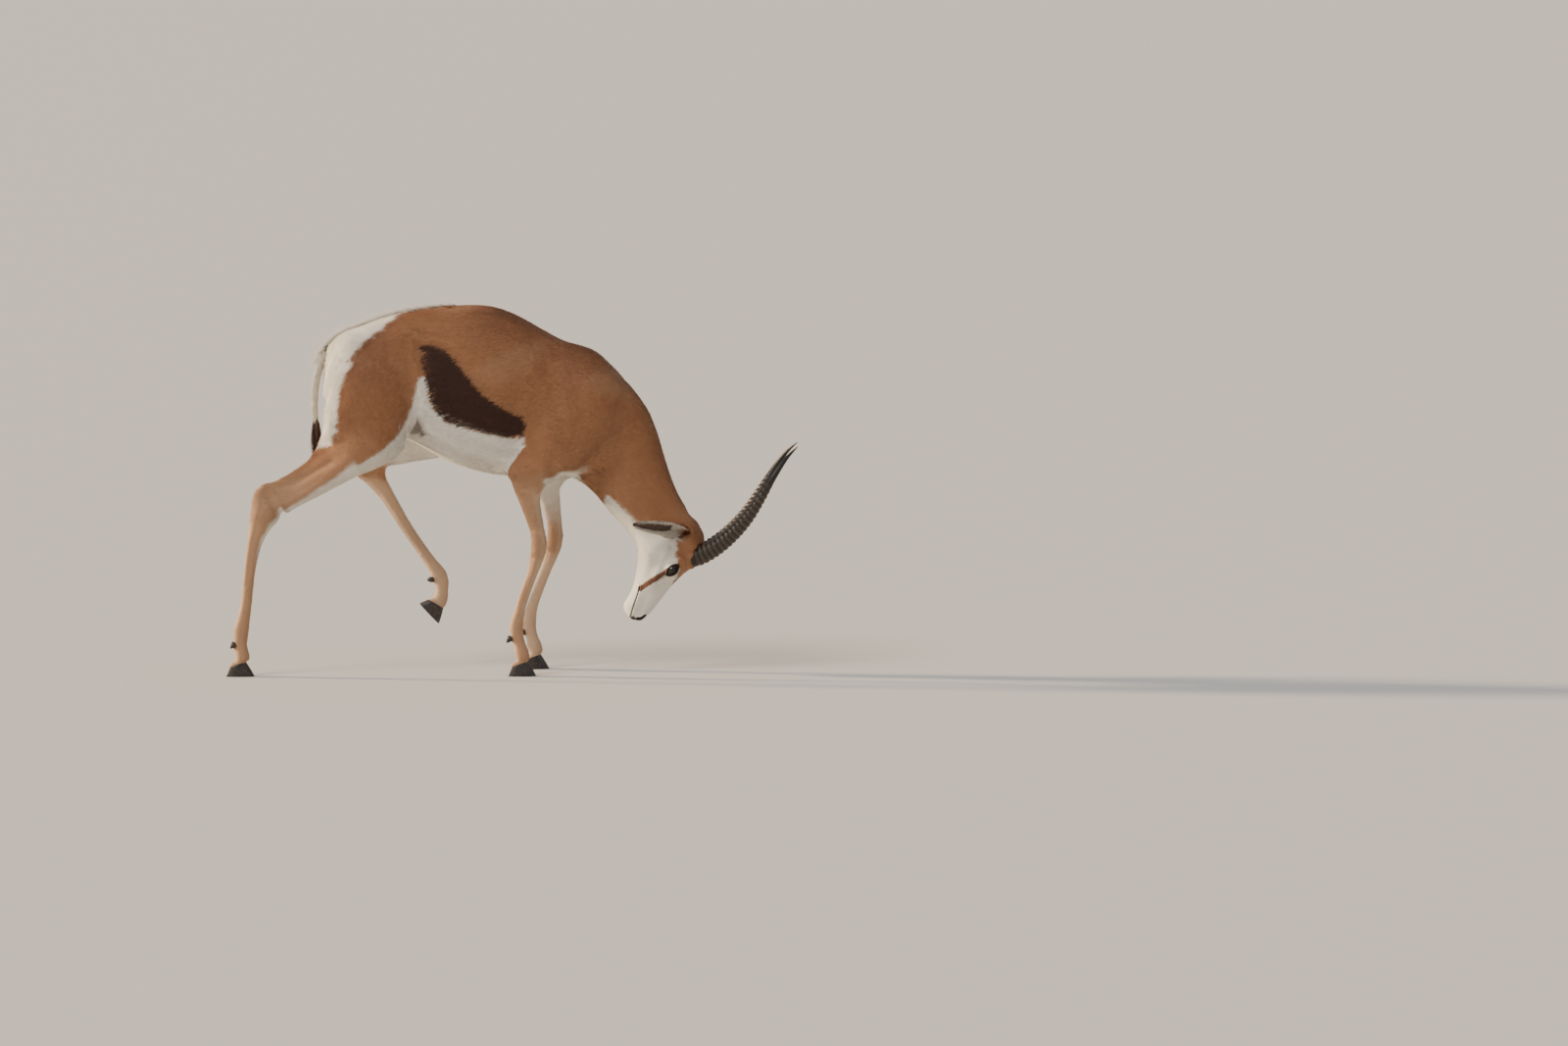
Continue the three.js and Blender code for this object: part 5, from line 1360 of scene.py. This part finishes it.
# From the neck to the muzzle the tufts grow denser, shorter and narrower
NEARING = [-120, -40, 20, 80, 140, 250]
NEARING_DENSITY = [0.28, 0.33, 0.47, 0.69, 0.88, 0.98]
NEARING_LENGTH = [12, 10, 8, 6, 4.8, 2.9]
NEARING_WIDTH = [1.8, 1.6, 1.35, 1.1, 0.95, 0.8]
for name, (lines, where, density) in COAT_REGIONS.items():
    if name in ("coat_neck", "coat_head"):
        density = np.interp(toward_muzzle(middle), NEARING, NEARING_DENSITY)
    roots, normals, lie = scatter(np.isin(triangle_line, lines) & where(middle) & ~bare, density)
    line_at = nearest_line(roots)[0]
    count = len(roots)
    stray = draw.normal(0, 0.16, count)
    lie = lie * np.cos(stray)[:, None] + np.cross(normals, lie) * np.sin(stray)[:, None]
    length = of_line("long", line_at) / 1000 * draw.uniform(0.7, 1.2, count)
    width = of_line("wide", line_at) / 1000 * draw.uniform(0.75, 1.2, count)
    if name in ("coat_neck", "coat_head"):
        nearing = toward_muzzle(roots)
        length *= np.interp(nearing, NEARING, NEARING_LENGTH) / of_line("long", line_at)
        width *= np.interp(nearing, NEARING, NEARING_WIDTH) / of_line("wide", line_at)
    length *= np.clip((off_eyes(roots) * 1000 - 17) / 10, 0.25, 1)
    astray = 0.05 if lines[0] in ("trunk", "neck", "thigh_right") else 0.0
    lift = np.where(draw.random(count) < astray, draw.uniform(0.15, 0.35, count),
                    draw.uniform(0.02, 0.11, count))
    piece = lay_tufts(name, roots, normals, lie, length, width, lift, marked(roots, normals), coat_paint,
                      flat=name not in ("coat_ears", "coat_tail"))

# Longer hair. A pale crest down the rump, fringes inside the ears, lashes, whiskers and the dark tuft of the
# tail: thinner locks that bend and stand further out than the coat's.
crest_hide = (triangle_line == "trunk") & (np.abs(middle[:, 1]) < 0.010)
crest_hide &= hide_normals[triangles[:, 0], 2] > 0.4
crest_hide &= (middle[:, 0] < metres((-150, 0, 0))[0]) & (middle[:, 2] > 0.6)
roots, normals, lie = scatter(crest_hide, 0.10)
count = len(roots)
reach = smoothstep(-150, -300, roots[:, 0] * 1000 - MIDDLE_X)
pale = smoothstep(-215, -250, roots[:, 0] * 1000 - MIDDLE_X)[:, None]
crest_hair = lay_tufts("coat_crest", roots, normals, lie,
                       draw.uniform(0.014, 0.022, count) * (1 + 0.9 * reach),
                       draw.uniform(0.0010, 0.0017, count), draw.uniform(0.2, 0.55, count),
                       marked(roots, normals) * (1 - pale) + np.array(WHITE) * pale, coat_paint, bow=0.3,
                       parts=3)

roots, normals, lie = scatter(np.char.startswith(triangle_line, "ear"), 0.9)
fringed = np.zeros(len(roots), bool)
for side in (-1, 1):
    rise, share, _, within = ear_place(roots, normals, side)
    _, axis, _, across = ear_shape(side)
    mine = (np.sign(roots[:, 1]) == side) & (within > -0.2) & (rise > 0.1) & (rise < 0.86)
    mine &= (np.abs(share) > 0.6) | (rise < 0.2)
    lie[mine] = axis - np.outer(np.sign(share[mine]) * 0.45, across)
    fringed |= mine
roots, normals = roots[fringed], normals[fringed]
lie = laid_flat(lie[fringed], normals)
count = len(roots)
ear_hair = lay_tufts("ear_fringe", roots, normals, lie, draw.uniform(0.008, 0.016, count),
                     draw.uniform(0.0006, 0.0010, count), draw.uniform(0.15, 0.6, count),
                     np.tile(WHITE, (count, 1)) * 1.15, coat_paint, bow=0.4, parts=2)

lid = (to_eye < 0.0206) & (np.abs(mid_aside) > 20)
gap, _, upward = lid_gap_at(mid_along, mid_above)
roots, normals, lie = scatter(lid & (gap > 0.2) & (gap < 1.5) & (upward > 1), 2.2)
count = len(roots)
lashes = lay_tufts("lashes", roots, normals, lie, draw.uniform(0.005, 0.009, count), np.full(count, 0.0005),
                   draw.uniform(0.5, 0.9, count), np.tile(NAKED, (count, 1)), coat_paint, bow=-0.3, parts=2)

on_lips = (triangle_line == "head") & (np.abs(mid_aside) > 6)
on_lips &= off_line(MOUTH[:5], mid_along, mid_above) < 8
roots, normals, lie = scatter(on_lips, 0.012)
count = len(roots)
whiskers = lay_tufts("whiskers", roots, normals, lie, draw.uniform(0.006, 0.014, count),
                     np.full(count, 0.0002), draw.uniform(0.5, 1.0, count), np.tile(NAKED, (count, 1)),
                     coat_paint, bow=0.5, parts=4)

tail_end = metres(TAIL_PATH)[40:]
count = 620
at = draw.integers(0, len(tail_end), count)
turn = draw.uniform(0, 2 * math.pi, count)
normals = np.column_stack([np.cos(turn), np.sin(turn), np.zeros(count)])
roots = tail_end[at] + normals * 0.003
lie = np.tile((0.03, 0.0, -1.0), (count, 1))
length = (roots[:, 2] - 0.426) * draw.uniform(0.45, 1.0, count)
tail_tuft = lay_tufts("tail_tuft", roots, normals, lie, np.minimum(length, 0.075),
                      draw.uniform(0.0016, 0.0026, count), draw.uniform(0.10, 0.32, count),
                      np.tile(BAND, (count, 1)) * 1.1, coat_paint, bow=0.45, parts=4)
